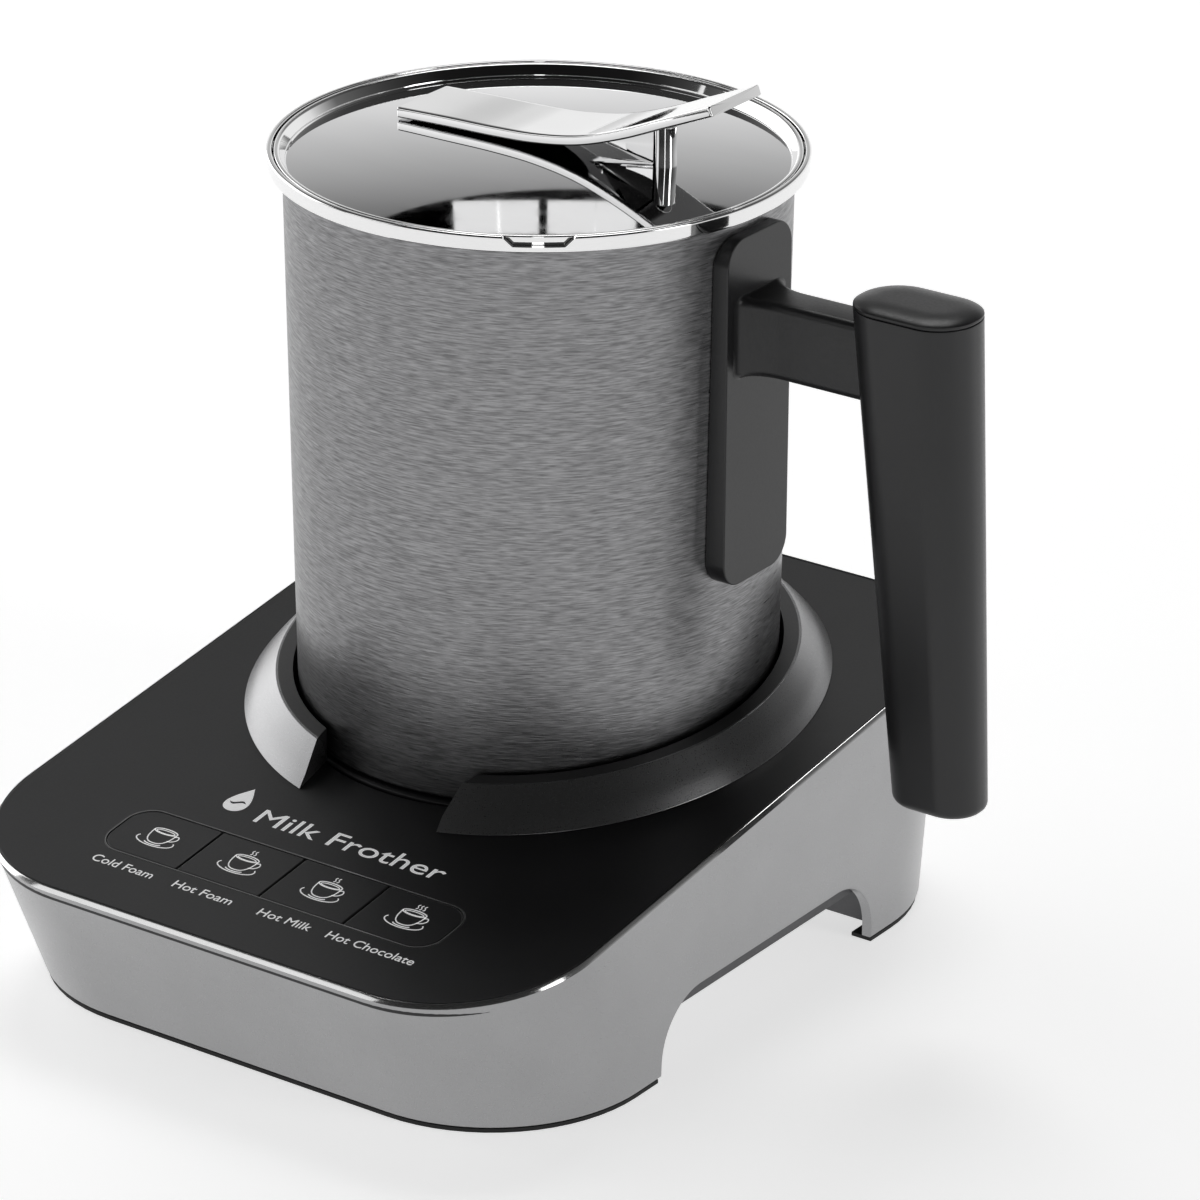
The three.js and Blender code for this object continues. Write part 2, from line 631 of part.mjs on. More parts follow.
function buildJugBody(group) {
  const shellTop = JUG_HEIGHT - RIM_HEIGHT - GAP;
  const shell = [
    [jugRadius(0) - 1.2, 0], [jugRadius(0) - 0.4, 0], [jugRadius(0), 0.6], [jugRadius(shellTop), shellTop],
    [jugRadius(shellTop) - JUG_WALL, shellTop], [jugRadius(0.6) - JUG_WALL, 0.8],
  ];
  add(group, 'jug_shell', solid(turned(shell)), BRUSHED_STEEL);
  const disc = [[0, 0.6], [44, 0.6], [46.4, 1.4], [46.4, 3], [0, 3]];
  add(group, 'jug_base', solid(turned(disc)), ZINC);
  const outer = LINER_RADIUS + 1;
  const low = LINER_FLOOR - 1.2;
  const bend = LINER_CORNER * 0.3;
  const liner = [
    [0, low], [outer - LINER_CORNER, low], [outer - bend, low + bend], [outer, low + LINER_CORNER],
    [outer, LINER_TOP - 0.8], [48.7, LINER_TOP - 0.8], [48.7, LINER_TOP], [LINER_RADIUS, LINER_TOP],
    [LINER_RADIUS, LINER_FLOOR + LINER_CORNER], [LINER_RADIUS - bend, LINER_FLOOR + bend],
    [LINER_RADIUS - LINER_CORNER, LINER_FLOOR], [0, LINER_FLOOR],
  ];
  add(group, 'jug_liner', solid(turned(liner)), COATING);
  const top = JUG_HEIGHT;
  const rimLow = top - RIM_HEIGHT;
  const rim = [
    [49.2, rimLow], [RIM_RADIUS - 0.3, rimLow], [RIM_RADIUS, rimLow + 0.4], [RIM_RADIUS, top - 0.5],
    [RIM_RADIUS - 0.4, top], [RIM_RADIUS - 1, top], [RIM_RADIUS - 1.2, top - 0.3],
    [RIM_RADIUS - 1.2, rimLow + 0.7], [49.2, rimLow + 0.7],
  ];
  const notch = box(-NOTCH.half, NOTCH.half, -3, 3, top - NOTCH.depth, top + 1);
  notch.translate(0, -RIM_RADIUS, 0).rotateZ((NOTCH.degrees / 360) * TAU);
  add(group, 'jug_rim', solid(turned(rim)).subtract(solid(notch)), CHROME);
  const foot = LINER_FLOOR + GAP;
  const pin = [
    [0, foot], [5, foot], [5, foot + 0.9], [1.5, foot + 1.7], [1.5, foot + 8.7], [0, foot + 9.5],
  ];
  add(group, 'whisk_pin', solid(turned(pin, SMALL_ROUND)), ZINC);
}

// The grip's rounded outline at a height, mixed between its foot and its top.
function gripRing(share, z, shrink = 0) {
  const mix = (key) => GRIP_FOOT[key] + (GRIP_TOP[key] - GRIP_FOOT[key]) * share;
  const middle = (mix('inner') + mix('outer')) / 2;
  const width = mix('half') - shrink;
  const outline = {
    half: (mix('outer') - mix('inner')) / 2 - shrink,
    front: -width,
    rear: width,
    radius: mix('radius') - shrink,
  };
  return outlinePoints(outline).map(([x, y]) => new THREE.Vector3(x + middle, y, z));
}

function buildHandle(group) {
  const outline = roundedRectangle(-PAD_HALF, PAD_HALF, PAD_LOW, PAD_HIGH, PAD_RADIUS);
  const slab = solid(sidePrism(outline, JUG_TOP_RADIUS - 8, PAD_FACE));
  const drumTop = JUG_HEIGHT - RIM_HEIGHT;
  const drum = solid(turned([
    [0, 0], [jugRadius(0) + GAP, 0], [jugRadius(drumTop) + GAP, drumTop], [0, drumTop],
  ]));
  add(group, 'handle_pad', slab.subtract(drum), BLACK_HANDLE);
  const armOutline = roundedRectangle(-ARM_HALF, ARM_HALF, ARM_LOW, ARM_HIGH, ARM_RADIUS);
  const easeShare = GRIP_EASE / (GRIP_HIGH - GRIP_LOW);
  const grip = loft([
    gripRing(0, GRIP_LOW, GRIP_EASE),
    gripRing(easeShare, GRIP_LOW + GRIP_EASE),
    gripRing(1, GRIP_HIGH),
  ]);
  const gripSpace = loft([gripRing(0, GRIP_LOW, -GAP), gripRing(1, GRIP_HIGH, -GAP)]);
  const arm = solid(sidePrism(armOutline, PAD_FACE + GAP, ARM_END)).subtract(solid(gripSpace));
  add(group, 'handle_arm', largest(arm), BLACK_HANDLE);
  add(group, 'handle_grip', solid(grip), BLACK_HANDLE);
  const cap = loft([
    gripRing(1, GRIP_HIGH + GAP),
    gripRing(1, GRIP_HIGH + CAP_WALL),
    gripRing(1, GRIP_HIGH + CAP_HEIGHT, 1.8),
  ]);
  add(group, 'grip_cap', solid(cap), BLACK_HANDLE);
}

// The biggest of a solid's separate bodies.
function largest(body) {
  const pieces = body.decompose();
  pieces.sort((a, b) => b.volume() - a.volume());
  return pieces[0];
}

function buildJug() {
  const group = new THREE.Group();
  group.position.z = JUG_SEAT;
  buildJugBody(group);
  buildHandle(group);
  group.add(buildLid());
  group.add(buildWhisk());
  return group;
}

// ----------------------------------------------------------------------- lid

// The strip's path, moved square to itself by the drop.
function stripLine(drop) {
  const curve = new THREE.SplineCurve(STRIP_PATH.map(([x, height]) => new THREE.Vector2(x, height)));
  const points = [];
  for (let i = 0; i <= STRIP_STEPS; i += 1) {
    const point = curve.getPoint(i / STRIP_STEPS);
    const tangent = curve.getTangent(i / STRIP_STEPS);
    points.push(new THREE.Vector2(point.x + tangent.y * drop, point.y - tangent.x * drop));
  }
  return points;
}

// A side outline in (x, height over the glass), made as wide as given about the strip's middle.
function lidPrism(outline, halfWidth) {
  const body = prism(outline, -halfWidth, halfWidth).rotateX(Math.PI / 2);
  return solid(body.translate(0, STRIP_MIDDLE_Y, GLASS_TOP));
}

function buildLid() {
  const group = new THREE.Group();
  const glassLow = GLASS_TOP - GLASS_THICK;
  const shelf = JUG_HEIGHT - RIM_HEIGHT + 0.7 + GAP;
  const profile = [
    [48.4, glassLow - GAP], [46.8, glassLow - GAP], [46.8, glassLow - 1.1], [48.8, glassLow - 1.1],
    [48.8, shelf], [LID_RING_OUTER, shelf], [LID_RING_OUTER, LID_RING_TOP - 0.3],
    [LID_RING_OUTER - 0.3, LID_RING_TOP], [50.5, LID_RING_TOP], [49.3, GLASS_TOP + 0.6],
    [48, GLASS_TOP + 0.5], [48, GLASS_TOP + GAP], [48.4, GLASS_TOP + GAP],
  ];
  add(group, 'lid_ring', solid(turned(profile)), CHROME);
  const glass = solid(disc(GLASS_RADIUS, glassLow, GLASS_TOP));
  const hole = solid(post(POST_X, STRIP_MIDDLE_Y, glassLow - 1, GLASS_TOP + 1, 2));
  add(group, 'lid_glass', glass.subtract(hole), SMOKED_GLASS);
  const sealTop = glassLow - GAP;
  const seal = [
    [44.2, 108.6], [46.2, 108], [46.2, 109.2], [45.6, 109.6], [45.6, sealTop], [44.2, sealTop],
  ];
  add(group, 'lid_seal', solid(turned(seal)), RUBBER);
  buildLidHandle(group, glassLow);
  return group;
}

function buildLidHandle(group, glassLow) {
  const strip = new THREE.Shape([...stripLine(0), ...stripLine(STRIP_THICK).reverse()]);
  add(group, 'lid_handle', lidPrism(strip, STRIP_HALF_WIDTH), CHROME);
  const y = STRIP_MIDDLE_Y;
  const column = solid(post(POST_X, y, GLASS_TOP + GAP, GLASS_TOP + 16, POST_RADIUS));
  const web = new THREE.Shape();
  web.moveTo(POST_X, 0.5);
  web.lineTo(POST_X, 15);
  web.lineTo(POST_X - FIN_REACH, 15);
  web.lineTo(POST_X - FIN_REACH, 2.9);
  web.quadraticCurveTo(POST_X - 8, 2.1, POST_X, 0.5);
  const under = new THREE.Shape([
    new THREE.Vector2(STRIP_PATH[0][0], -5), ...stripLine(STRIP_THICK + GAP), new THREE.Vector2(42, -5),
  ]);
  const support = column.add(lidPrism(web, FIN_HALF)).intersect(lidPrism(under, STRIP_HALF_WIDTH));
  add(group, 'lid_post', largest(support), CHROME);
  const washer = ring(1.8, 5, glassLow - 1.1, glassLow - GAP, 20);
  add(group, 'lid_washer', solid(washer.translate(POST_X, y, 0)), RUBBER);
  const screw = turned([
    [0, glassLow - 3], [3.2, glassLow - 3], [3.6, glassLow - 1.4], [1.4, glassLow - 1.4],
    [1.4, GLASS_TOP - 0.2], [0, GLASS_TOP - 0.2],
  ], SMALL_ROUND);
  add(group, 'lid_screw', solid(screw.translate(POST_X, y, 0)), ZINC);
}

// --------------------------------------------------------------------- whisk

// Helical spring bent into a ring that stops just short of closing.
class SpringRing extends THREE.Curve {
  getPoint(share, target = new THREE.Vector3()) {
    const angle = share * TAU * WHISK_SHARE;
    const turn = share * TAU * WHISK_TURNS;
    const radius = WHISK_RING + WHISK_COIL * Math.cos(turn);
    return target.set(radius * Math.cos(angle), radius * Math.sin(angle), WHISK_COIL * Math.sin(turn));
  }
}

function buildWhisk() {
  const group = new THREE.Group();
  const floor = WHISK_FLOOR;
  const hub = solid(turned([
    [2, floor + 0.6], [8.6, floor + 0.6], [9, floor + 1], [9, floor + 5], [4, floor + 6.5],
    [4, floor + 9], [2, floor + 9],
  ], 28));
  add(group, 'whisk_hub', hub, DARK_PLASTIC);
  const wire = new THREE.Shape();
  wire.absarc(0, 0, WHISK_WIRE, 0, TAU);
  const options = { steps: WHISK_TURNS * 6, extrudePath: new SpringRing(), curveSegments: 2 };
  const spring = new THREE.ExtrudeGeometry(wire, options);
  add(group, 'whisk_spring', solid(spring.translate(0, 0, floor + WHISK_COIL + WHISK_WIRE)), ZINC);
  return group;
}

// ------------------------------------------------------------------ assembly

function buildFrother() {
  const model = new THREE.Group();
  const right = GRIP_FOOT.outer;
  const left = -SHELL_TOP.half;
  const front = SHELL_TOP.front;
  model.position.set(-(left + right) / 2, -(front + REAR_EXTENT) / 2, 0);
  model.add(buildBase());
  model.add(buildJug());
  return model;
}

const frother = new THREE.Group();
frother.add(buildFrother());

export default frother;
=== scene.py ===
"""Milk frother on its induction base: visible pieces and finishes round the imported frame.

Sizes are millimetres from the jug's upright axis, with heights from the table, and
Skin.stand() turns them into metres in the row's frame. The keys face -Y and the jug's
handle points along +X. The base's top rises by SLOPE for each millimetre towards +Y.
"""

import logging
import math
from dataclasses import dataclass
from enum import Enum

import bmesh
import bpy
import numpy as np
from mathutils import Matrix, Vector
from mathutils.geometry import tessellate_polygon


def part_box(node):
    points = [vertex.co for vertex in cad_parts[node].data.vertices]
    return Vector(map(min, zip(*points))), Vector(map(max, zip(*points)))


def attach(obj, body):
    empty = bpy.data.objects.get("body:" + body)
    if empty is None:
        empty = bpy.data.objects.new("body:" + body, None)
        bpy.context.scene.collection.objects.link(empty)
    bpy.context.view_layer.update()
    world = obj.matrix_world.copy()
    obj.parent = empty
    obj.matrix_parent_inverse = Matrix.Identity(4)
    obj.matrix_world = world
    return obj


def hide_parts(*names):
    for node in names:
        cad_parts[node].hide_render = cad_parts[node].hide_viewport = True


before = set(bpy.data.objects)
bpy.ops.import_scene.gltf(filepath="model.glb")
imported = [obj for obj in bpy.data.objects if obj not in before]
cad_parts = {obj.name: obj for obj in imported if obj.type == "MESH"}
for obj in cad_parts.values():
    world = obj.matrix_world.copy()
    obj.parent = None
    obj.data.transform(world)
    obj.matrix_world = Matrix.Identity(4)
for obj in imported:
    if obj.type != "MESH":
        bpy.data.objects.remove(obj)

LOG = logging.getLogger("milk_frother")
MILLIMETRE = 0.001
TAU = 2 * math.pi
WELD = 2e-6
SLOPE = 0.14
TOP_AT_AXIS = 47.7
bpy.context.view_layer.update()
SHELL_LOW, SHELL_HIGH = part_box("jug_shell")
JUG_AXIS = (SHELL_LOW + SHELL_HIGH) / 2
JUG_SEAT = SHELL_LOW.z / MILLIMETRE


class Body(Enum):
    """The frame's moving bodies."""

    BASE = "base"
    KEY_1 = "key_one"
    KEY_2 = "key_two"
    KEY_3 = "key_three"
    KEY_4 = "key_four"
    ROTOR = "rotor"
    JUG = "jug"
    LID = "lid"
    WHISK = "whisk"


class Slot(Enum):
    """The record's material slots."""

    SILVER = "satin_silver"
    BLACK_TOP = "black_top"
    PLASTIC = "dark_plastic"
    BOARD = "circuit_board"
    COPPER = "copper_wire"
    ZINC = "zinc_plate"
    MAGNET = "magnet"
    RUBBER = "black_rubber"
    STEEL = "brushed_steel"
    COATING = "dark_coating"
    CHROME = "chrome"
    HANDLE = "black_handle"
    GLASS = "smoked_glass"


# ---------------------------------------------------------------------- surfaces


@dataclass
class Skin:
    """A bare mesh in millimetres, with a place on the surface for each point."""

    points: np.ndarray
    quads: np.ndarray
    triangles: np.ndarray
    uv: np.ndarray

    @classmethod
    def grid(
        cls,
        points: np.ndarray,
        rows_closed: bool = False,
        columns_closed: bool = False,
    ) -> "Skin":
        """Joins a grid of points by four-sided faces.

        Args:
            points: the (rows, columns, 3) grid.
            rows_closed: joins the last row to the first.
            columns_closed: joins the last column to the first.

        Returns:
            The skin. A point's place is its column's share and its row's share.
        """
        if rows_closed:
            points = np.concatenate([points, points[:1]], axis=0)
        if columns_closed:
            points = np.concatenate([points, points[:, :1]], axis=1)
        rows, columns = points.shape[:2]
        index = np.arange(rows * columns).reshape(rows, columns)
        corners = (index[:-1, :-1], index[:-1, 1:], index[1:, 1:], index[1:, :-1])
        v, u = np.meshgrid(
            np.linspace(0, 1, rows), np.linspace(0, 1, columns), indexing="ij"
        )
        return cls(
            points.reshape(-1, 3),
            np.stack(corners, axis=-1).reshape(-1, 4),
            np.empty((0, 3), int),
            np.stack([u, v], axis=-1).reshape(-1, 2),
        )

    def with_others(self, *others: "Skin") -> "Skin":
        """One skin of this one and the others, side by side."""
        skins = [self, *others]
        starts = np.cumsum([0] + [len(skin.points) for skin in skins[:-1]])
        return Skin(
            np.concatenate([skin.points for skin in skins]),
            np.concatenate([skin.quads + start for skin, start in zip(skins, starts)]),
            np.concatenate(
                [skin.triangles + start for skin, start in zip(skins, starts)]
            ),
            np.concatenate([skin.uv for skin in skins]),
        )

    def sheared(self) -> "Skin":
        """The skin with z raised by SLOPE times y, so that it follows the base's top."""
        rise = np.zeros_like(self.points)
        rise[:, 2] = SLOPE * self.points[:, 1]
        return Skin(self.points + rise, self.quads, self.triangles, self.uv)

    def moved(self, x: float = 0.0, y: float = 0.0, z: float = 0.0) -> "Skin":
        """The skin shifted by (x, y, z)."""
        shift = np.array([x, y, z])
        return Skin(self.points + shift, self.quads, self.triangles, self.uv)

    def stand(self, name: str, crease: float = 35.0) -> bpy.types.Object:
        """Makes the skin an object in the row's frame, with faces outward.

        Args:
            name: the piece's name.
            crease: edges that turn by more degrees than this stay sharp.

        Returns:
            The new object, at the origin, with its place in its mesh.
        """
        place = self.points * MILLIMETRE + np.array([JUG_AXIS.x, JUG_AXIS.y, 0])
        mesh = bpy.data.meshes.new(name)
        faces = self.quads.tolist() + self.triangles.tolist()
        mesh.from_pydata(place.tolist(), [], faces)
        layer = mesh.uv_layers.new(name="surface")
        corner = np.empty(len(mesh.loops), dtype=np.int32)
        mesh.loops.foreach_get("vertex_index", corner)
        layer.data.foreach_set("uv", self.uv[corner].astype(np.float32).ravel())
        body = bmesh.new()
        body.from_mesh(mesh)
        bmesh.ops.remove_doubles(body, verts=body.verts, dist=WELD)
        bmesh.ops.recalc_face_normals(body, faces=body.faces)
        body.to_mesh(mesh)
        body.free()
        return link(mesh, crease)


def link(mesh: bpy.types.Mesh, crease: float = 35.0) -> bpy.types.Object:
    """Shades a finished mesh smooth between its creases and puts it in the scene."""
    mesh.shade_smooth()
    mesh.set_sharp_from_angle(angle=math.radians(crease))
    piece = bpy.data.objects.new(mesh.name, mesh)
    bpy.context.scene.collection.objects.link(piece)
    return piece


def eased(
    corners: np.ndarray | list,
    radius: float | list,
    closed: bool = True,
    steps: int = 4,
    hold: float = 0.15,
) -> np.ndarray:
    """Rounds the corners of a profile.

    A corner P becomes the curve (1 - s)^2 A + 2 s (1 - s) P + s^2 B for s from 0 to 1,
    where A and B lie the radius away along its two sides. One more point stands a little
    past A and past B, so that the sides stay flat under smooth shading.

    Args:
        corners: the (n, 2) corners in order.
        radius: how far each rounding reaches, one value or one for each corner.
        closed: the last corner joins the first. Otherwise both ends stay as they are.
        steps: pieces in each rounding.
        hold: how far past the rounding the extra points stand.

    Returns:
        The rounded profile's points.
    """
    points = np.asarray(corners, float)
    reach = np.broadcast_to(np.asarray(radius, float), len(points))[:, None]
    back = np.roll(points, 1, axis=0) - points
    ahead = np.roll(points, -1, axis=0) - points
    back_length = np.linalg.norm(back, axis=1, keepdims=True) + 1e-9
    ahead_length = np.linalg.norm(ahead, axis=1, keepdims=True) + 1e-9
    cut = np.minimum(reach, 0.42 * np.minimum(back_length, ahead_length))
    past = np.minimum(hold, 0.06 * np.minimum(back_length, ahead_length))
    a = (points + back / back_length * cut)[:, None]
    b = (points + ahead / ahead_length * cut)[:, None]
    s = np.linspace(0, 1, steps + 1)[None, :, None]
    curve = (1 - s) ** 2 * a + 2 * s * (1 - s) * points[:, None] + s**2 * b
    before = a + (back / back_length * past)[:, None]
    after = b + (ahead / ahead_length * past)[:, None]
    block = np.concatenate([before, curve, after], axis=1)
    if closed:
        return block.reshape(-1, 2)
    return np.concatenate([points[:1], block[1:-1].reshape(-1, 2), points[-1:]])


def turned(profile: np.ndarray, columns: int = 192) -> Skin:
    """Turns a profile about the upright axis: (r cos a, r sin a, z) for a from 0 to a turn.

    Args:
        profile: (n, 2) radii and heights, closed unless both ends lie on the axis.
        columns: points on each circle.

    Returns:
        The closed skin.
    """
    angle = np.linspace(0, TAU, columns, endpoint=False)
    radius = profile[:, :1]
    height = profile[:, 1:] + np.zeros_like(angle)
    grid = np.stack([radius * np.cos(angle), radius * np.sin(angle), height], axis=-1)
    on_axis = bool(np.all(np.abs(profile[[0, -1], 0]) < 1e-6))
    return Skin.grid(grid, rows_closed=not on_axis, columns_closed=True)


def rounded_loop(
    x: tuple[float, float],
    y: tuple[float, float],
    radii: float | list,
    steps: int = 10,
) -> np.ndarray:
    """A rectangle with a quarter circle at each corner: centre + r (cos a, sin a).

    Args:
        x: lowest and highest x.
        y: lowest and highest y.
        radii: one radius, or those of the near right, far right, far left and near left.
        steps: points on each quarter.

    Returns:
        The loop's (n, 2) points, anticlockwise.
    """
    r = np.broadcast_to(np.asarray(radii, float), 4)
    centre_x = np.array([x[1] - r[0], x[1] - r[1], x[0] + r[2], x[0] + r[3]])
    centre_y = np.array([y[0] + r[0], y[1] - r[1], y[1] - r[2], y[0] + r[3]])
    quarter = np.linspace(0, TAU / 4, steps)
    angle = (np.arange(4)[:, None] - 1) * TAU / 4 + quarter
    across = centre_x[:, None] + r[:, None] * np.cos(angle)
    along = centre_y[:, None] + r[:, None] * np.sin(angle)
    return np.stack([across, along], axis=-1).reshape(-1, 2)


def oval(a: float, b: float, y: float, angle: np.ndarray) -> np.ndarray:
    """Points of the oval (a cos t, y + b sin t) at those angles."""
    return np.stack([a * np.cos(angle), b * np.sin(angle) + y], -1)


def circle(radius: float, columns: int = 192) -> np.ndarray:
    """A circle's (n, 2) points about the axis, anticlockwise."""
    angle = np.linspace(0, TAU, columns, endpoint=False)
    return radius * np.stack([np.cos(angle), np.sin(angle)], axis=-1)


def slab(loops: list[np.ndarray], low: float, high: float, edge: float = 0.3) -> Skin:
    """A flat plate with rounded edges and holes.

    Each loop is repeated at several levels. At a level of angle t its points stand
    edge (1 - sin t) inside the outline, edge (1 - cos t) off the face. The two faces are
    filled between the innermost loops.

    Args:
        loops: the outline anticlockwise, then each hole clockwise.
        low: height of the lower face.
        high: height of the upper face.
        edge: radius of the rounded edges.

    Returns:
        The closed skin.
    """
    t = np.linspace(0, TAU / 4, 4)
    inset = edge * (1 - np.sin(t))
    drop = edge * (1 - np.cos(t))
    inset = np.concatenate([[1.5 * edge], inset, inset[::-1], [1.5 * edge]])
    level = np.concatenate([[low], low + drop, high - drop[::-1], [high]])
    walls = []
    for loop in loops:
        tangent = np.roll(loop, -1, axis=0) - np.roll(loop, 1, axis=0)
        tangent /= np.linalg.norm(tangent, axis=1, keepdims=True) + 1e-12
        normal = np.stack([tangent[:, 1], -tangent[:, 0]], axis=-1)
        flat = loop[None] - inset[:, None, None] * normal[None]
        height = np.broadcast_to(level[:, None, None], (*flat.shape[:2], 1))
        walls.append(np.concatenate([flat, height], axis=-1))
    rims = [[Vector((*point[:2], 0)) for point in wall[-1]] for wall in walls]
    fill = np.array(tessellate_polygon(rims))
    sides = [Skin.grid(wall, columns_closed=True) for wall in walls]
    shell = sides[0].with_others(*sides[1:])
    counts = [len(loop) + 1 for loop in loops]
    starts = np.cumsum([0] + [count * len(level) for count in counts[:-1]])
    bottom = np.concatenate([start + np.arange(n - 1) for start, n in zip(starts, counts)])
    last = len(level) - 1
    top = np.concatenate(
        [start + last * n + np.arange(n - 1) for start, n in zip(starts, counts)]
    )
    shell.triangles = np.concatenate([bottom[fill][:, ::-1], top[fill]])
    return shell


def stroke(
    path: np.ndarray, width: float, low: float, high: float, closed: bool = False
) -> Skin:
    """A flat printed line: a thin rectangle carried along a path in plan.

    The rectangle's corners stand half the width to each side of the path, along
    (-ty, tx), where (tx, ty) is the path's direction.

    Args:
        path: (n, 2) points of the line.
        width: the line's width.
        low: height of its underside.
        high: height of its face.
        closed: the last point joins the first.

    Returns:
        The closed skin.
    """
    if closed:
        tangent = np.roll(path, -1, axis=0) - np.roll(path, 1, axis=0)
    else:
        tangent = np.gradient(path, axis=0)
    tangent /= np.linalg.norm(tangent, axis=1, keepdims=True) + 1e-12
    side = np.stack([-tangent[:, 1], tangent[:, 0]], axis=-1) * width / 2
    left, right = path + side, path - side
    corners = [(left, low), (left, high), (right, high), (right, low)]
    grid = np.stack(
        [np.column_stack([flat, np.full(len(flat), z)]) for flat, z in corners], axis=1
    )
    if not closed:
        ends = grid[[0, -1]].mean(axis=1, keepdims=True)
        start = np.broadcast_to(ends[0], (1, 4, 3))
        finish = np.broadcast_to(ends[1], (1, 4, 3))
        grid = np.concatenate([start, grid, finish])
    return Skin.grid(grid, rows_closed=closed, columns_closed=True)


def smooth_path(knots: np.ndarray | list, count: int) -> np.ndarray:
    """A smooth line through knots.

    Between knots B and C, with A before and D after, a point at share t is half of
    2B + (C - A) t + (2A - 5B + 4C - D) t^2 + (3B - A - 3C + D) t^3.

    Args:
        knots: the (n, k) points that the line passes.
        count: how many points to return.

    Returns:
        The (count, k) points, evenly spread over the knots.
    """
    points = np.asarray(knots, float)
    position = np.linspace(0, len(points) - 1, count)
    start = np.minimum(position.astype(int), len(points) - 2)
    t = (position - start)[:, None]
    top = len(points) - 1
    a, b = points[np.maximum(start - 1, 0)], points[start]
    c, d = points[start + 1], points[np.minimum(start + 2, top)]
    cubic = (3 * b - a - 3 * c + d) * t**3
    return (2 * b + (c - a) * t + (2 * a - 5 * b + 4 * c - d) * t**2 + cubic) / 2


def capped(grid: np.ndarray) -> np.ndarray:
    """The grid with its first and last row repeated as one point, which closes it."""
    first = np.broadcast_to(grid[0].mean(axis=0), (1, *grid.shape[1:]))
    last = np.broadcast_to(grid[-1].mean(axis=0), (1, *grid.shape[1:]))
    return np.concatenate([first, grid, last])


def tube(path: np.ndarray, aside: np.ndarray, radius: float, sides: int = 8) -> Skin:
    """A round wire: path + r (cos a n + sin a b) round each point.

    n is the part of `aside` square to the path's direction t, and b is t x n.

    Args:
        path: (n, 3) centre line.
        aside: (n, 3) directions that lean away from the path.
        radius: the wire's radius.
        sides: points round the wire.

    Returns:
        The skin, closed at both ends.
    """
    along = np.gradient(path, axis=0)
    along /= np.linalg.norm(along, axis=1, keepdims=True)
    normal = aside - np.sum(aside * along, axis=1, keepdims=True) * along
    normal /= np.linalg.norm(normal, axis=1, keepdims=True)
    across = np.cross(along, normal)
    angle = np.linspace(0, TAU, sides, endpoint=False)[None, :, None]
    ring = np.cos(angle) * normal[:, None] + np.sin(angle) * across[:, None]
    return Skin.grid(capped(path[:, None] + radius * ring), columns_closed=True)


# ---------------------------------------------------------------------- finishes


class Graph:
    """A material's nodes, with short calls for those that the finishes share."""

    def __init__(self, name: str) -> None:
        """Makes a new material that holds one Principled shader."""
        self.material = bpy.data.materials.new(name)
        self.material.use_nodes = True
        self.tree = self.material.node_tree
        self.shader = self.tree.nodes["Principled BSDF"]

    def node(self, kind: str, **settings: object) -> bpy.types.Node:
        """Adds a node of that kind with its settings."""
        made = self.tree.nodes.new(kind)
        for key, value in settings.items():
            setattr(made, key, value)
        return made

    def join(self, source: bpy.types.NodeSocket, target: bpy.types.NodeSocket) -> None:
        """Links one socket to another."""
        self.tree.links.new(source, target)

    def coordinates(self, scale: tuple[float, float, float]) -> bpy.types.NodeSocket:
        """The piece's own coordinates in metres, multiplied by a scale on each axis."""
        place = self.node("ShaderNodeTexCoord")
        mapping = self.node("ShaderNodeMapping")
        mapping.inputs["Scale"].default_value = scale
        self.join(place.outputs["Object"], mapping.inputs["Vector"])
        return mapping.outputs["Vector"]

    def noise(
        self, scale: tuple[float, float, float], detail: float = 5.0, warp: float = 0.0
    ) -> bpy.types.NodeSocket:
        """Noise of that many features to the metre on each axis, from 0 to 1."""
        made = self.node("ShaderNodeTexNoise")
        made.inputs["Scale"].default_value = 1.0
        made.inputs["Detail"].default_value = detail
        made.inputs["Distortion"].default_value = warp
        self.join(self.coordinates(scale), made.inputs["Vector"])
        return made.outputs["Fac"]

    def spread(
        self, value: bpy.types.NodeSocket, low: float, high: float
    ) -> bpy.types.NodeSocket:
        """Noise stretched from its usual 0.3 to 0.7 onto low to high."""
        made = self.node("ShaderNodeMapRange")
        made.inputs["From Min"].default_value = 0.3
        made.inputs["From Max"].default_value = 0.7
        made.inputs["To Min"].default_value = low
        made.inputs["To Max"].default_value = high
        self.join(value, made.inputs["Value"])
        return made.outputs["Result"]

    def tint(
        self, value: bpy.types.NodeSocket, dark: tuple, light: tuple
    ) -> bpy.types.NodeSocket:
        """A colour between two by the value."""
        made = self.node("ShaderNodeValToRGB")
        made.color_ramp.elements[0].position = 0.3
        made.color_ramp.elements[0].color = (*dark, 1)
        made.color_ramp.elements[1].position = 0.7
        made.color_ramp.elements[1].color = (*light, 1)
        self.join(value, made.inputs["Fac"])
        return made.outputs["Color"]

    def bump(
        self,
        height: bpy.types.NodeSocket,
        depth: float,
        strength: float,
        under: bpy.types.NodeSocket | None = None,
    ) -> bpy.types.NodeSocket:
        """A normal raised by the height, depth in millimetres, on top of another."""
        made = self.node("ShaderNodeBump")
        made.inputs["Distance"].default_value = depth * MILLIMETRE
        made.inputs["Strength"].default_value = strength
        self.join(height, made.inputs["Height"])
        if under is not None:
            self.join(under, made.inputs["Normal"])
        return made.outputs["Normal"]

    def set(self, **values: float) -> None:
        """Sets the shader's own sockets, by name with _ for a space."""
        for key, value in values.items():
            self.shader.inputs[key.replace("_", " ")].default_value = value

    def feed(self, source: bpy.types.NodeSocket, name: str) -> None:
        """Links a socket to one of the shader's."""
        self.join(source, self.shader.inputs[name])


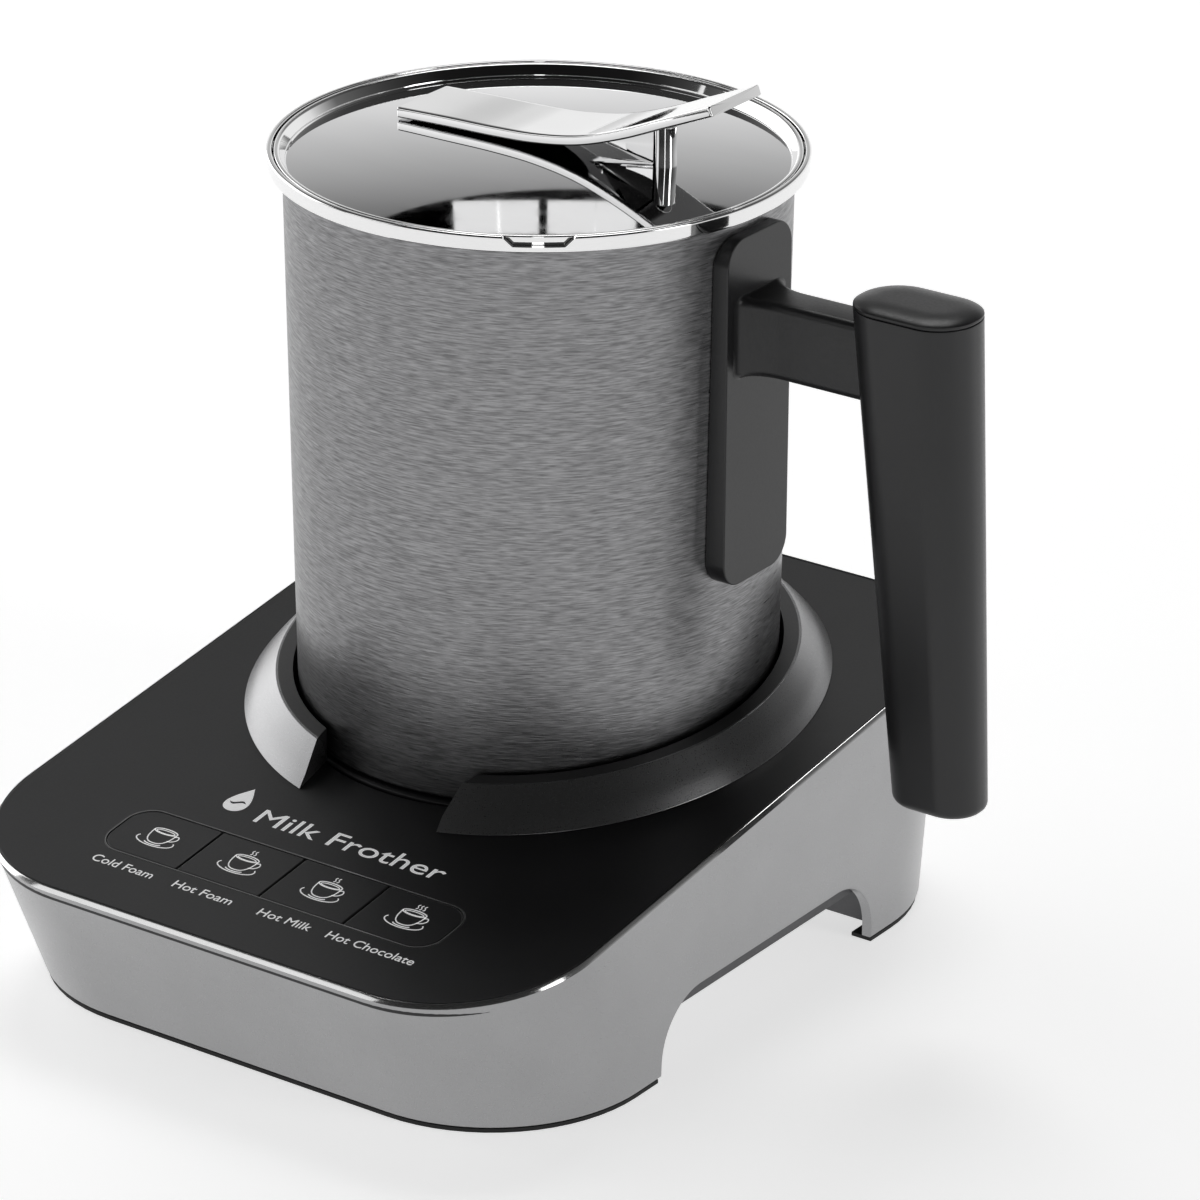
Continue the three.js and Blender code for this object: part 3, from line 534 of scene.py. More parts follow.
@dataclass(frozen=True)
class Finish:
    """A finish with fine grain, uneven gloss and faint mottling."""

    name: str
    colour: tuple[float, float, float]
    metallic: float = 0.0
    roughness: float = 0.45
    specular: float = 0.5
    grain: tuple[float, float, float] = (2600, 2600, 2600)
    depth: float = 0.02
    strength: float = 0.25
    mottle: float = 0.12
    gloss_spread: float = 0.06

    def material(self) -> bpy.types.Material:
        """The finish's material, made once."""
        found = bpy.data.materials.get(self.name)
        if found:
            return found
        graph = Graph(self.name)
        self.dress(graph)
        return graph.material

    def dress(self, graph: Graph) -> None:
        """Colour, gloss and grain from two sizes of noise."""
        graph.set(Metallic=self.metallic, Specular_IOR_Level=self.specular)
        base = np.array(self.colour)
        dark, light = base * (1 - self.mottle), base * (1 + self.mottle)
        broad = graph.noise((55, 55, 55), 3)
        graph.feed(graph.tint(broad, tuple(dark), tuple(light)), "Base Color")
        fine = graph.noise(self.grain)
        low, high = self.roughness - self.gloss_spread, self.roughness + self.gloss_spread
        graph.feed(graph.spread(fine, low, high), "Roughness")
        graph.feed(graph.bump(fine, self.depth, self.strength), "Normal")


@dataclass(frozen=True)
class BrushedSteel(Finish):
    """Steel brushed round the jug: short level marks and a stretched highlight."""

    anisotropy: float = 0.6

    def dress(self, graph: Graph) -> None:
        """Level streaks of two lengths over the broad, soft highlight."""
        graph.set(Metallic=1.0, Anisotropic=self.anisotropy)
        tangent = graph.node(
            "ShaderNodeTangent", direction_type="UV_MAP", uv_map="surface"
        )
        graph.feed(tangent.outputs["Tangent"], "Tangent")
        marks = graph.noise((300, 300, 3600), 3, 0.2)
        wisps = graph.noise((170, 170, 2400), 3, 0.1)
        base = np.array(self.colour)
        graph.feed(graph.tint(marks, tuple(base * 0.6), tuple(base * 1.35)), "Base Color")
        graph.feed(
            graph.spread(wisps, self.roughness - 0.05, self.roughness + 0.07), "Roughness"
        )
        under = graph.bump(wisps, 0.02, 0.15)
        graph.feed(graph.bump(marks, 0.04, 0.5, under), "Normal")


@dataclass(frozen=True)
class Polished(Finish):
    """A mirror-bright plated or glass surface with faint wiping marks."""

    def dress(self, graph: Graph) -> None:
        """An even colour, with gloss that changes slightly in long faint wisps."""
        graph.set(Metallic=self.metallic, Specular_IOR_Level=self.specular)
        base = np.array(self.colour)
        wisps = graph.noise((18, 60, 25), 6, 1.2)
        dark, light = base * (1 - self.mottle), np.minimum(base * (1 + self.mottle), 1)
        graph.feed(graph.tint(wisps, tuple(dark), tuple(light)), "Base Color")
        fine = graph.noise((240, 240, 240), 8)
        high = self.roughness + self.gloss_spread
        graph.feed(graph.spread(fine, self.roughness, high), "Roughness")
        graph.feed(graph.bump(wisps, self.depth, self.strength), "Normal")


@dataclass(frozen=True)
class Winding(Finish):
    """Enamelled wire wound flat in a spiral about the jug's axis."""

    def dress(self, graph: Graph) -> None:
        """Rings one millimetre apart about the axis, darker in the grooves between turns, a painted shade.
        """
        graph.set(Metallic=self.metallic)
        place = graph.node("ShaderNodeTexCoord")
        mapping = graph.node("ShaderNodeMapping")
        mapping.inputs["Location"].default_value = (-JUG_AXIS.x, -JUG_AXIS.y, 0)
        graph.join(place.outputs["Object"], mapping.inputs["Vector"])
        rings = graph.node(
            "ShaderNodeTexWave", wave_type="RINGS", rings_direction="Z"
        )
        rings.inputs["Scale"].default_value = 160
        rings.inputs["Distortion"].default_value = 0.2
        graph.join(mapping.outputs["Vector"], rings.inputs["Vector"])
        base = np.array(self.colour)
        # painted shade: the wave's low parts, the grooves between turns, take the darker colour
        tint = graph.tint(rings.outputs["Fac"], tuple(base * 0.35), tuple(base))
        graph.feed(tint, "Base Color")
        fine = graph.noise(self.grain)
        graph.feed(graph.spread(fine, 0.3, 0.5), "Roughness")
        graph.feed(graph.bump(rings.outputs["Fac"], 0.3, 0.6), "Normal")


@dataclass(frozen=True)
class Laminate(Finish):
    """Circuit board: green lacquer over copper tracks."""

    def dress(self, graph: Graph) -> None:
        """Square tracks as lighter, slightly raised lines in the lacquer."""
        graph.set(Specular_IOR_Level=0.6)
        tracks = graph.node("ShaderNodeTexBrick")
        tracks.inputs["Scale"].default_value = 1.0
        tracks.inputs["Mortar Size"].default_value = 0.06
        tracks.inputs["Brick Width"].default_value = 1.7
        tracks.inputs["Row Height"].default_value = 0.6
        base = np.array(self.colour)
        tracks.inputs["Color1"].default_value = (*base, 1)
        tracks.inputs["Color2"].default_value = (*(base * 0.8), 1)
        tracks.inputs["Mortar"].default_value = (*(base * 2.1), 1)
        graph.join(graph.coordinates((260, 260, 260)), tracks.inputs["Vector"])
        graph.feed(tracks.outputs["Color"], "Base Color")
        fine = graph.noise(self.grain)
        graph.feed(graph.spread(fine, 0.3, 0.45), "Roughness")
        graph.feed(graph.bump(tracks.outputs["Fac"], 0.03, 0.5), "Normal")


@dataclass(frozen=True)
class PaintedGlowInk(Finish):
    """Printed ink with an even painted glow: emission that brightens it, though no lamp lights it."""

    painted_glow: float = 0.25

    def dress(self, graph: Graph) -> None:
        """The plain finish with an even painted glow."""
        super().dress(graph)
        # painted glow: emission that makes the white print brighter
        graph.set(Emission_Strength=self.painted_glow)
        graph.shader.inputs["Emission Color"].default_value = (1, 1, 1, 1)


@dataclass(frozen=True)
class Speckled(Finish):
    """Non-stick coating with small light flecks."""

    def dress(self, graph: Graph) -> None:
        """Dark lacquer with flecks where a cell pattern comes close to its centres."""
        graph.set(Specular_IOR_Level=self.specular)
        cells = graph.node("ShaderNodeTexVoronoi")
        cells.inputs["Scale"].default_value = 1.0
        graph.join(graph.coordinates((620, 620, 620)), cells.inputs["Vector"])
        flecks = graph.node("ShaderNodeValToRGB")
        flecks.color_ramp.elements[0].position = 0.1
        flecks.color_ramp.elements[0].color = (0.16, 0.16, 0.17, 1)
        flecks.color_ramp.elements[1].position = 0.16
        flecks.color_ramp.elements[1].color = (*self.colour, 1)
        graph.join(cells.outputs["Distance"], flecks.inputs["Fac"])
        graph.feed(flecks.outputs["Color"], "Base Color")
        fine = graph.noise(self.grain)
        graph.feed(graph.spread(fine, 0.26, 0.42), "Roughness")
        graph.feed(graph.bump(fine, self.depth, self.strength), "Normal")


SATIN_SILVER = Finish(
    "satin_silver_paint", (0.37, 0.37, 0.375), 0.92, 0.3, grain=(3800, 3800, 3800),
    depth=0.012, strength=0.2, mottle=0.03, gloss_spread=0.04,
)
# A darker copy of the satin silver: painted shade on the collar.
COLLAR_SHADED_SILVER = Finish(
    "collar_silver_painted_shade", (0.31, 0.31, 0.315), 0.92, 0.3, grain=(3800, 3800, 3800),
    depth=0.012, strength=0.2, mottle=0.03, gloss_spread=0.04,
)
# A brighter copy of the satin silver: a painted highlight for the base's chamfer and the key field's edge.
SILVER_PAINTED_HIGHLIGHT = Finish(
    "silver_painted_highlight", (0.8, 0.8, 0.8), 0.95, 0.12, mottle=0.03, depth=0.006,
    strength=0.15, gloss_spread=0.03,
)
STEEL = BrushedSteel("brushed_jug_steel", (0.25, 0.25, 0.255), 1.0, 0.32)
PLAIN_STEEL = Finish(
    "spun_base_steel", (0.5, 0.5, 0.5), 1.0, 0.3, grain=(500, 500, 500), mottle=0.06
)
CHROME = Polished(
    "polished_chrome", (0.84, 0.84, 0.84), 1.0, 0.03, mottle=0.02, depth=0.01,
    strength=0.06, gloss_spread=0.03,
)
GLASS = Polished(
    "smoked_mirror_glass", (0.8, 0.8, 0.805), 1.0, 0.015, mottle=0.02, depth=0.01,
    strength=0.03, gloss_spread=0.02,
)
BLACK_TOP = Finish(
    "satin_black_top", (0.012, 0.012, 0.013), 0.0, 0.38, 0.4, (2200, 2200, 2200),
    depth=0.012, strength=0.25, mottle=0.15, gloss_spread=0.05,
)
COLLAR_TRIM = Finish(
    "collar_trim_black", (0.04, 0.04, 0.041), 0.0, 0.4, 0.45, (2200, 2200, 2200),
    depth=0.012, strength=0.2, mottle=0.1,
)
HANDLE_BLACK = Finish(
    "moulded_handle_black", (0.015, 0.015, 0.016), 0.0, 0.33, 0.45, (1700, 1700, 1700),
    depth=0.02, strength=0.22, mottle=0.1, gloss_spread=0.05,
)
DARK_PLASTIC = Finish(
    "moulded_dark_plastic", (0.03, 0.03, 0.032), 0.0, 0.55, 0.4, (1300, 1300, 1300),
    depth=0.05, strength=0.35,
)
FLOOR_PLASTIC = Finish(
    "moulded_floor_plastic", (0.1, 0.1, 0.104), 0.0, 0.6, 0.4, (1300, 1300, 1300),
    depth=0.05, strength=0.35,
)
RUBBER = Finish(
    "black_rubber", (0.012, 0.012, 0.012), 0.0, 0.75, 0.3, (900, 900, 900),
    depth=0.08, strength=0.4,
)
# White print with a painted glow, emission that brightens it.
INK_WITH_PAINTED_GLOW = PaintedGlowInk(
    "printed_white_ink_painted_glow", (0.9, 0.9, 0.9), 0.0, 0.5, 0.3, (4200, 4200, 4200),
    depth=0.01, strength=0.2, mottle=0.04, painted_glow=0.28,
)
ZINC = Finish(
    "zinc_plate", (0.55, 0.56, 0.58), 1.0, 0.38, grain=(700, 700, 700), mottle=0.1
)
WIRE = Finish(
    "sprung_steel_wire", (0.62, 0.62, 0.63), 1.0, 0.2, grain=(1500, 1500, 1500),
    mottle=0.05,
)
MAGNET = Finish(
    "magnet_block", (0.09, 0.09, 0.1), 0.8, 0.5, grain=(1200, 1200, 1200), depth=0.04
)
COPPER = Winding("enamelled_copper", (0.6, 0.25, 0.12), 0.9, 0.4)
BOARD = Laminate("green_board", (0.012, 0.08, 0.035), 0.0, 0.4)
COATING = Speckled("speckled_coating", (0.016, 0.016, 0.017), 0.0, 0.34)


def fit(
    piece: bpy.types.Object, body: Body, slot: Slot, finish: Finish, *nodes: str
) -> bpy.types.Object:
    """Dresses a piece and hands it to the frame.

    Args:
        piece: the finished mesh object.
        body: the body that it rides on.
        slot: the record's slot; not used.
        finish: its material.
        nodes: the frame's nodes that it stands for.

    Returns:
        The same piece.
    """
    piece.data.materials.clear()
    piece.data.materials.append(finish.material())
    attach(piece, body.value)
    if nodes:
        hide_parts(*nodes)
    LOG.info("%s: %d faces, on %s", piece.name, len(piece.data.polygons), body.value)
    return piece


def reface(name: str, finish: Finish) -> None:
    """Gives one of the frame's own nodes a finish."""
    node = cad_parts[name]
    node.data.materials.clear()
    node.data.materials.append(finish.material())
    LOG.info("%s: kept, in %s", name, finish.name)


# -------------------------------------------------------------------------- base


@dataclass(frozen=True)
class Outline:
    """A rounded rectangle in plan, even about the jug's x."""

    half: float
    front: float
    rear: float
    radius: float

    def loop(self, inset: float = 0.0, steps: int = 24) -> np.ndarray:
        """The outline's points, moved inwards by the inset."""
        x = self.half - inset
        y = (self.front + inset, self.rear - inset)
        return rounded_loop((-x, x), y, self.radius - inset, steps)

    def walk(self, inset: float, side: np.ndarray) -> np.ndarray:
        """The outline with chosen stations on its two long sides.

        A quarter's points are its centre + (radius - inset) (cos a, sin a). A side's
        points are (half - inset, y) at the stations.

        Args:
            inset: how far inside the outline the points stand.
            side: the stations' y, rising.

        Returns:
            The (n, 2) points, anticlockwise from the middle of the front.
        """
        x, near, far = self.half - self.radius, self.front + self.radius, self.rear - self.radius
        reach = self.radius - inset
        angle = np.linspace(0, TAU / 4, 24)
        level = np.linspace(-x, x, 14)[1:-1]
        quarters = [
            np.stack([cx + reach * np.cos(angle + turn), cy + reach * np.sin(angle + turn)], -1)
            for cx, cy, turn in (
                (x, near, -TAU / 4), (x, far, 0), (-x, far, TAU / 4), (-x, near, TAU / 2),
            )
        ]
        right = np.stack([np.full_like(side, x + reach), side], -1)
        back = np.stack([level[::-1], np.full_like(level, far + reach)], -1)
        left = np.stack([np.full_like(side, -x - reach), side[::-1]], -1)
        front = np.stack([level, np.full_like(level, near - reach)], -1)
        return np.concatenate(
            [front, quarters[0], right, quarters[1], back, quarters[2], left, quarters[3]]
        )


TOP_OUTLINE = Outline(69.2, -108.7, 65.0, 31.0)
FOOT_OUTLINE = Outline(68.6, -96.6, 62.0, 34.4)
KEY_FIELD = Outline(40.6, -91.8, -76.1, 5.5)


@dataclass
class Housing:
    """The base's outer shell, its black top plate, underside and cable gland."""

    foot: float = 1.1
    wall: float = 2.2
    lip: float = 0.7
    plate: float = 3.0
    arch_front: float = -54.3
    arch_rear: float = 19.7
    arch_top: float = 16.1
    arch_radius: float = 13.0
    plate_bore: float = 49.9
    gland_height: float = 22.0

    def stations(self) -> np.ndarray:
        """The y of the shell's side stations, close together round the arch's corners."""
        turn = np.linspace(0, TAU / 4, 18)
        front = self.arch_front + self.arch_radius * (1 - np.cos(turn))
        rear = self.arch_rear - self.arch_radius * (1 - np.cos(turn[::-1]))
        before = np.linspace(self.arch_front - 6, self.arch_front - 0.03, 5)
        after = np.linspace(self.arch_rear + 0.03, self.arch_rear + 6, 5)
        middle = np.linspace(front[-1], rear[0], 14)[1:-1]
        return np.concatenate([before, front, middle, rear, after])

    def lower_edge(self, y: np.ndarray, x: np.ndarray) -> np.ndarray:
        """Height of the shell's lower edge: the foot, or the arch on the long sides.

        Within a corner the arch stands at top - R + sqrt(R^2 - d^2), where d is how far
        y lies from the corner's centre.
        """
        r = self.arch_radius
        near, far = self.arch_front + r, self.arch_rear - r
        away = np.maximum(near - y, 0) + np.maximum(y - far, 0)
        arch = self.arch_top - r + np.sqrt(np.maximum(r * r - away * away, 0))
        inside = (y > self.arch_front - 1e-6) & (y < self.arch_rear + 1e-6)
        return np.where(inside & (np.abs(x) > 60), arch, self.foot)

    def shell(self) -> Skin:
        """The shell: a wall section carried round the outline.

        A point of the section is (inset, height). Its plan place lies on the straight
        line between the foot's and the top's outline, at the height's share of the wall.
        """
        side = self.stations()
        foot = FOOT_OUTLINE.walk(0, side)
        low = self.lower_edge(foot[:, 1], foot[:, 0])
        top = TOP_AT_AXIS + SLOPE * TOP_OUTLINE.walk(0, side)[:, 1]
        chamfer = [(0.0, -0.95), (0.02, -0.86), (0.06, -0.8), (0.5, -0.1), (0.56, -0.03), (0.62, 0.0)]
        share = np.array([0.015, 0.2, 0.4, 0.6, 0.8, 0.99])
        rows = [(1.2, low), (0.5, low), (0.2, low + 0.08), (0.06, low + 0.24), (0.0, low + 0.5)]
        span = top - 0.95 - (low + 0.5)
        rows += [(0.0, low + 0.5 + span * part) for part in share]
        rows += [(inset, top + drop) for inset, drop in chamfer]
        rows += [(self.lip, top - 0.02), (self.lip, top - 0.12)]
        rows += [(self.lip, top - self.plate - 0.3), (self.wall, top - self.plate - 0.3)]
        rows += [(self.wall, low + 0.4), (self.wall, low)]
        grid = []
        for inset, height in rows:
            near = FOOT_OUTLINE.walk(inset, side)
            far = TOP_OUTLINE.walk(inset, side)
            part = ((height - self.foot) / (top - self.foot))[:, None]
            grid.append(np.column_stack([near + (far - near) * part, height]))
        return Skin.grid(np.stack(grid), rows_closed=True, columns_closed=True)

    def edge_line(self) -> Skin:
        """A painted highlight on the cut edge: a thin closed strip in a brighter copy of the silver, laid
        on the shell's chamfer.
        """
        side = self.stations()
        section = [
            (0.1, -0.98), (0.0, -0.88), (0.46, -0.1), (0.56, -0.01), (0.66, 0.01),
            (0.69, -0.1), (0.6, -0.14), (0.16, -0.86),
        ]
        rows = []
        for inset, drop in section:
            flat = TOP_OUTLINE.walk(inset, side)
            rim = TOP_AT_AXIS + SLOPE * TOP_OUTLINE.walk(0, side)[:, 1]
            rows.append(np.column_stack([flat, rim + drop]))
        return Skin.grid(np.stack(rows), rows_closed=True, columns_closed=True)

    def top_plate(self) -> Skin:
        """The plate with its round bore and the keys' cut-out, sheared to the slope."""
        loops = [
            TOP_OUTLINE.loop(self.lip + 0.15, 32),
            circle(self.plate_bore)[::-1],
            KEY_FIELD.loop(0)[::-1],
        ]
        return slab(loops, TOP_AT_AXIS - self.plate, TOP_AT_AXIS - 0.02, 0.2).sheared()

    def gland(self) -> Skin:
        """The ribbed cable gland, turned about a level axis through the rear wall."""
        profile = eased(
            [
                (2.2, -9), (6, -9), (6, -6.5), (4.2, -6), (4.2, 0.6), (6.4, 0.6),
                (6.4, 1.3), (5.8, 1.5), (5.8, 2.0), (6.0, 2.2), (5.4, 3.6), (3.4, 4), (2.2, 3.2),
            ],
            0.25,
        )
        skin = turned(profile, 48)
        across, along, up = skin.points.T
        skin.points = np.stack([across, up + TOP_OUTLINE.rear, along + self.gland_height], -1)
        return skin

    def build(self) -> None:
        """Builds and dresses the housing."""
        shell = self.shell().stand("housing_shell", 24)
        fit(shell, Body.BASE, Slot.SILVER, SATIN_SILVER, "base_shell")
        fit(self.edge_line().stand("housing_edge_highlight", 24), Body.BASE, Slot.SILVER, SILVER_PAINTED_HIGHLIGHT)
        plate = self.top_plate().stand("housing_top")
        fit(plate, Body.BASE, Slot.BLACK_TOP, BLACK_TOP, "top_plate")
        gland = self.gland().stand("rear_gland")
        fit(gland, Body.BASE, Slot.RUBBER, RUBBER, "cord_gland")
        reface("bottom_cover", FLOOR_PLASTIC)
        reface("front_foot", RUBBER)
        reface("rear_foot", RUBBER)
        for number in range(1, 5):
            reface(f"cover_screw_{number}", ZINC)


@dataclass
class KeyRow:
    """Four keys in a rounded field, with their drawings, captions and a bright outline, a painted edge
    highlight.
    """

    gap: float = 0.4
    thick: float = 2.2
    line: float = 0.26
    ink: float = 0.05
    drawing_y: float = -83.8
    caption_y: float = -96.6
    caption_height: float = 2.3
    captions: tuple[tuple[str, float, float], ...] = (
        ("Cold Foam", -37.4, -22.6),
        ("Hot Foam", -17.3, -3.1),
        ("Hot Milk", 3.5, 16.0),
        ("Hot Chocolate", 20.0, 40.5),
    )

    def key_bounds(self, number: int) -> tuple[float, float]:
        """Left and right of a key, counted from 0."""
        pitch = KEY_FIELD.half / 2
        left = -KEY_FIELD.half + number * pitch
        start = left + (self.gap if number == 0 else self.gap / 2)
        end = left + pitch - (self.gap if number == 3 else self.gap / 2)
        return start, end

    def key(self, number: int) -> Skin:
        """One key: a plate with round corners only at the row's ends, on a short stem."""
        round_corner = KEY_FIELD.radius - self.gap
        radii = [0.5, 0.5, 0.5, 0.5]
        if number == 0:
            radii[2] = radii[3] = round_corner
        if number == 3:
            radii[0] = radii[1] = round_corner
        y = (KEY_FIELD.front + self.gap, KEY_FIELD.rear - self.gap)
        loop = rounded_loop(self.key_bounds(number), y, radii, 12)
        plate = slab([loop], TOP_AT_AXIS - self.thick, TOP_AT_AXIS - 0.05, 0.22)
        left, right = self.key_bounds(number)
        stem = slab([circle(2.5, 32)], TOP_AT_AXIS - self.thick - 2, TOP_AT_AXIS - 1.6, 0.2)
        middle = ((left + right) / 2, (y[0] + y[1]) / 2)
        return plate.with_others(stem.moved(*middle)).sheared()

    def outline(self) -> Skin:
        """The thin light line round the field: a bright strip that paints the field's edge highlight."""
        low, high = TOP_AT_AXIS - 0.6, TOP_AT_AXIS + 0.02
        return stroke(KEY_FIELD.loop(0.1), self.line, low, high, closed=True).sheared()

    def drawing(self, number: int) -> Skin:
        """A cup on a saucer in thin printed lines, with wisps of steam.

        Ovals are (a cos t, b sin t). The bowl is the lower half of |x/a|^2.6 + |y/b|^2.6
        = 1, and a wisp is x = 0.25 sin(2 pi t) along its height.
        """
        low, high = TOP_AT_AXIS - 0.045, TOP_AT_AXIS - 0.05 + self.ink
        whole = np.linspace(0, TAU, 48, endpoint=False)
        saucer = oval(4.4, 1.75, -1.6, np.radians(np.linspace(158, 382, 40)))
        under = oval(2.0, 0.6, -2.3, np.radians(np.linspace(190, 350, 20)))
        rim = oval(2.75, 0.85, 2.0, whole)
        milk = oval(2.2, 0.5, 1.85, whole)
        half = np.linspace(-TAU / 2, 0, 32)
        bowl_x = 2.75 * np.sign(np.cos(half)) * np.abs(np.cos(half)) ** 0.77
        bowl = np.stack([bowl_x, 2.0 - 4.3 * np.abs(np.sin(half)) ** 0.77], -1)
        hook = smooth_path([(2.6, 1.2), (3.5, 1.5), (3.9, 0.6), (3.2, -0.4), (2.2, -0.7)], 20)
        lines = [
            stroke(rim, self.line, low, high, closed=True),
            stroke(milk, self.line * 0.8, low, high, closed=True),
            *(stroke(path, self.line, low, high) for path in (saucer, under, bowl, hook)),
        ]
        count = (0, 2, 2, 3)[number]
        share = np.linspace(0, 1, 12)
        for place in np.arange(count) - (count - 1) / 2:
            wisp = np.stack([place * 0.8 + 0.22 * np.sin(TAU * share) + 0.2 * share, 3.3 + 1.5 * share], -1)
            lines.append(stroke(wisp, self.line * 0.85, low, high))
        left, right = self.key_bounds(number)
        return lines[0].with_others(*lines[1:]).moved((left + right) / 2, self.drawing_y).sheared()

    def lettering(
        self, name: str, text: str, x: tuple[float, float], y: float, height: float
    ) -> bpy.types.Object:
        """Printed words, fitted between two x on the sloping top.

        Args:
            name: the piece's name.
            text: the words.
            x: where they start and end.
            y: their foot line.
            height: a capital's height.

        Returns:
            The lettering as a mesh object.
        """
        curve = bpy.data.curves.new(name, "FONT")
        curve.body = text
        curve.size = 1.0
        curve.extrude = 0.01
        curve.resolution_u = 6
        words = bpy.data.objects.new(name, curve)
        bpy.context.scene.collection.objects.link(words)
        bpy.context.view_layer.update()
        mesh = bpy.data.meshes.new_from_object(words)
        bpy.data.objects.remove(words)
        mesh.name = name
        points = np.empty(len(mesh.vertices) * 3, dtype=np.float32)
        mesh.vertices.foreach_get("co", points)
        points = points.reshape(-1, 3).astype(float)
        low, high = points.min(axis=0), points.max(axis=0)
        capital = 0.72
        flat_x = x[0] + (points[:, 0] - low[0]) / (high[0] - low[0]) * (x[1] - x[0])
        flat_y = y + points[:, 1] / capital * height
        level = TOP_AT_AXIS - 0.03 + (points[:, 2] - low[2]) / (high[2] - low[2]) * 0.06
        place = np.stack([flat_x, flat_y, level + SLOPE * flat_y], -1) * MILLIMETRE
        place += np.array([JUG_AXIS.x, JUG_AXIS.y, 0])
        mesh.vertices.foreach_set("co", place.astype(np.float32).ravel())
        mesh.materials.clear()
        body = bmesh.new()
        body.from_mesh(mesh)
        bmesh.ops.remove_doubles(body, verts=body.verts, dist=WELD)
        bmesh.ops.recalc_face_normals(body, faces=body.faces)
        body.to_mesh(mesh)
        body.free()
        return link(mesh, 30)

    def drop(self) -> Skin:
        """A drop with a small wave left open in it, as a plain mark.

        The drop is x = R sin(t) sin(t/2)^1.4, y = -R cos(t) with the point upwards.
        """
        t = np.linspace(0, TAU, 72, endpoint=False) + 1e-4
        width = 3.6 * np.sin(t) * np.abs(np.sin(t / 2)) ** 1.3
        outer = np.stack([width, 4.3 * np.cos(t)], -1)[::-1]
        outer[:, 0] *= -1
        area = np.sum(outer[:, 0] * np.roll(outer[:, 1], -1) - np.roll(outer[:, 0], -1) * outer[:, 1])
        outer = outer if area > 0 else outer[::-1]
        share = np.linspace(-1, 1, 24)
        upper = np.stack([1.9 * share, -1.2 + 0.5 * np.sin(3 * share) + 0.45 * (1 - share**2)], -1)
        lower = np.stack([1.9 * share, -1.2 + 0.5 * np.sin(3 * share) - 0.45 * (1 - share**2)], -1)
        hole = np.concatenate([upper, lower[::-1][1:-1]])
        low, high = TOP_AT_AXIS - 0.03, TOP_AT_AXIS + 0.03
        return slab([outer, hole], low, high, 0.02).moved(-24.6, -65.4).sheared()

    def build(self) -> None:
        """Builds and dresses the keys and everything printed round them."""
        bodies = (Body.KEY_1, Body.KEY_2, Body.KEY_3, Body.KEY_4)
        for number, body in enumerate(bodies):
            key = self.key(number).stand(f"touch_key_{number + 1}")
            fit(key, body, Slot.BLACK_TOP, BLACK_TOP, f"key_{number + 1}")
            drawing = self.drawing(number).stand(f"key_drawing_{number + 1}")
            fit(drawing, body, Slot.SILVER, INK_WITH_PAINTED_GLOW)
            text, start, end = self.captions[number]
            words = self.lettering(
                f"caption_{number + 1}", text, (start, end), self.caption_y, self.caption_height
            )
            fit(words, Body.BASE, Slot.SILVER, INK_WITH_PAINTED_GLOW)
        fit(self.outline().stand("key_field_highlight"), Body.BASE, Slot.SILVER, SILVER_PAINTED_HIGHLIGHT)
        title = self.lettering("title_words", "Milk Frother", (-17.8, 27.4), -70.6, 4.9)
        fit(title, Body.BASE, Slot.SILVER, INK_WITH_PAINTED_GLOW)
        fit(self.drop().stand("drop_mark"), Body.BASE, Slot.SILVER, INK_WITH_PAINTED_GLOW)
        reface("key_carrier", DARK_PLASTIC)
        reface("control_board", BOARD)


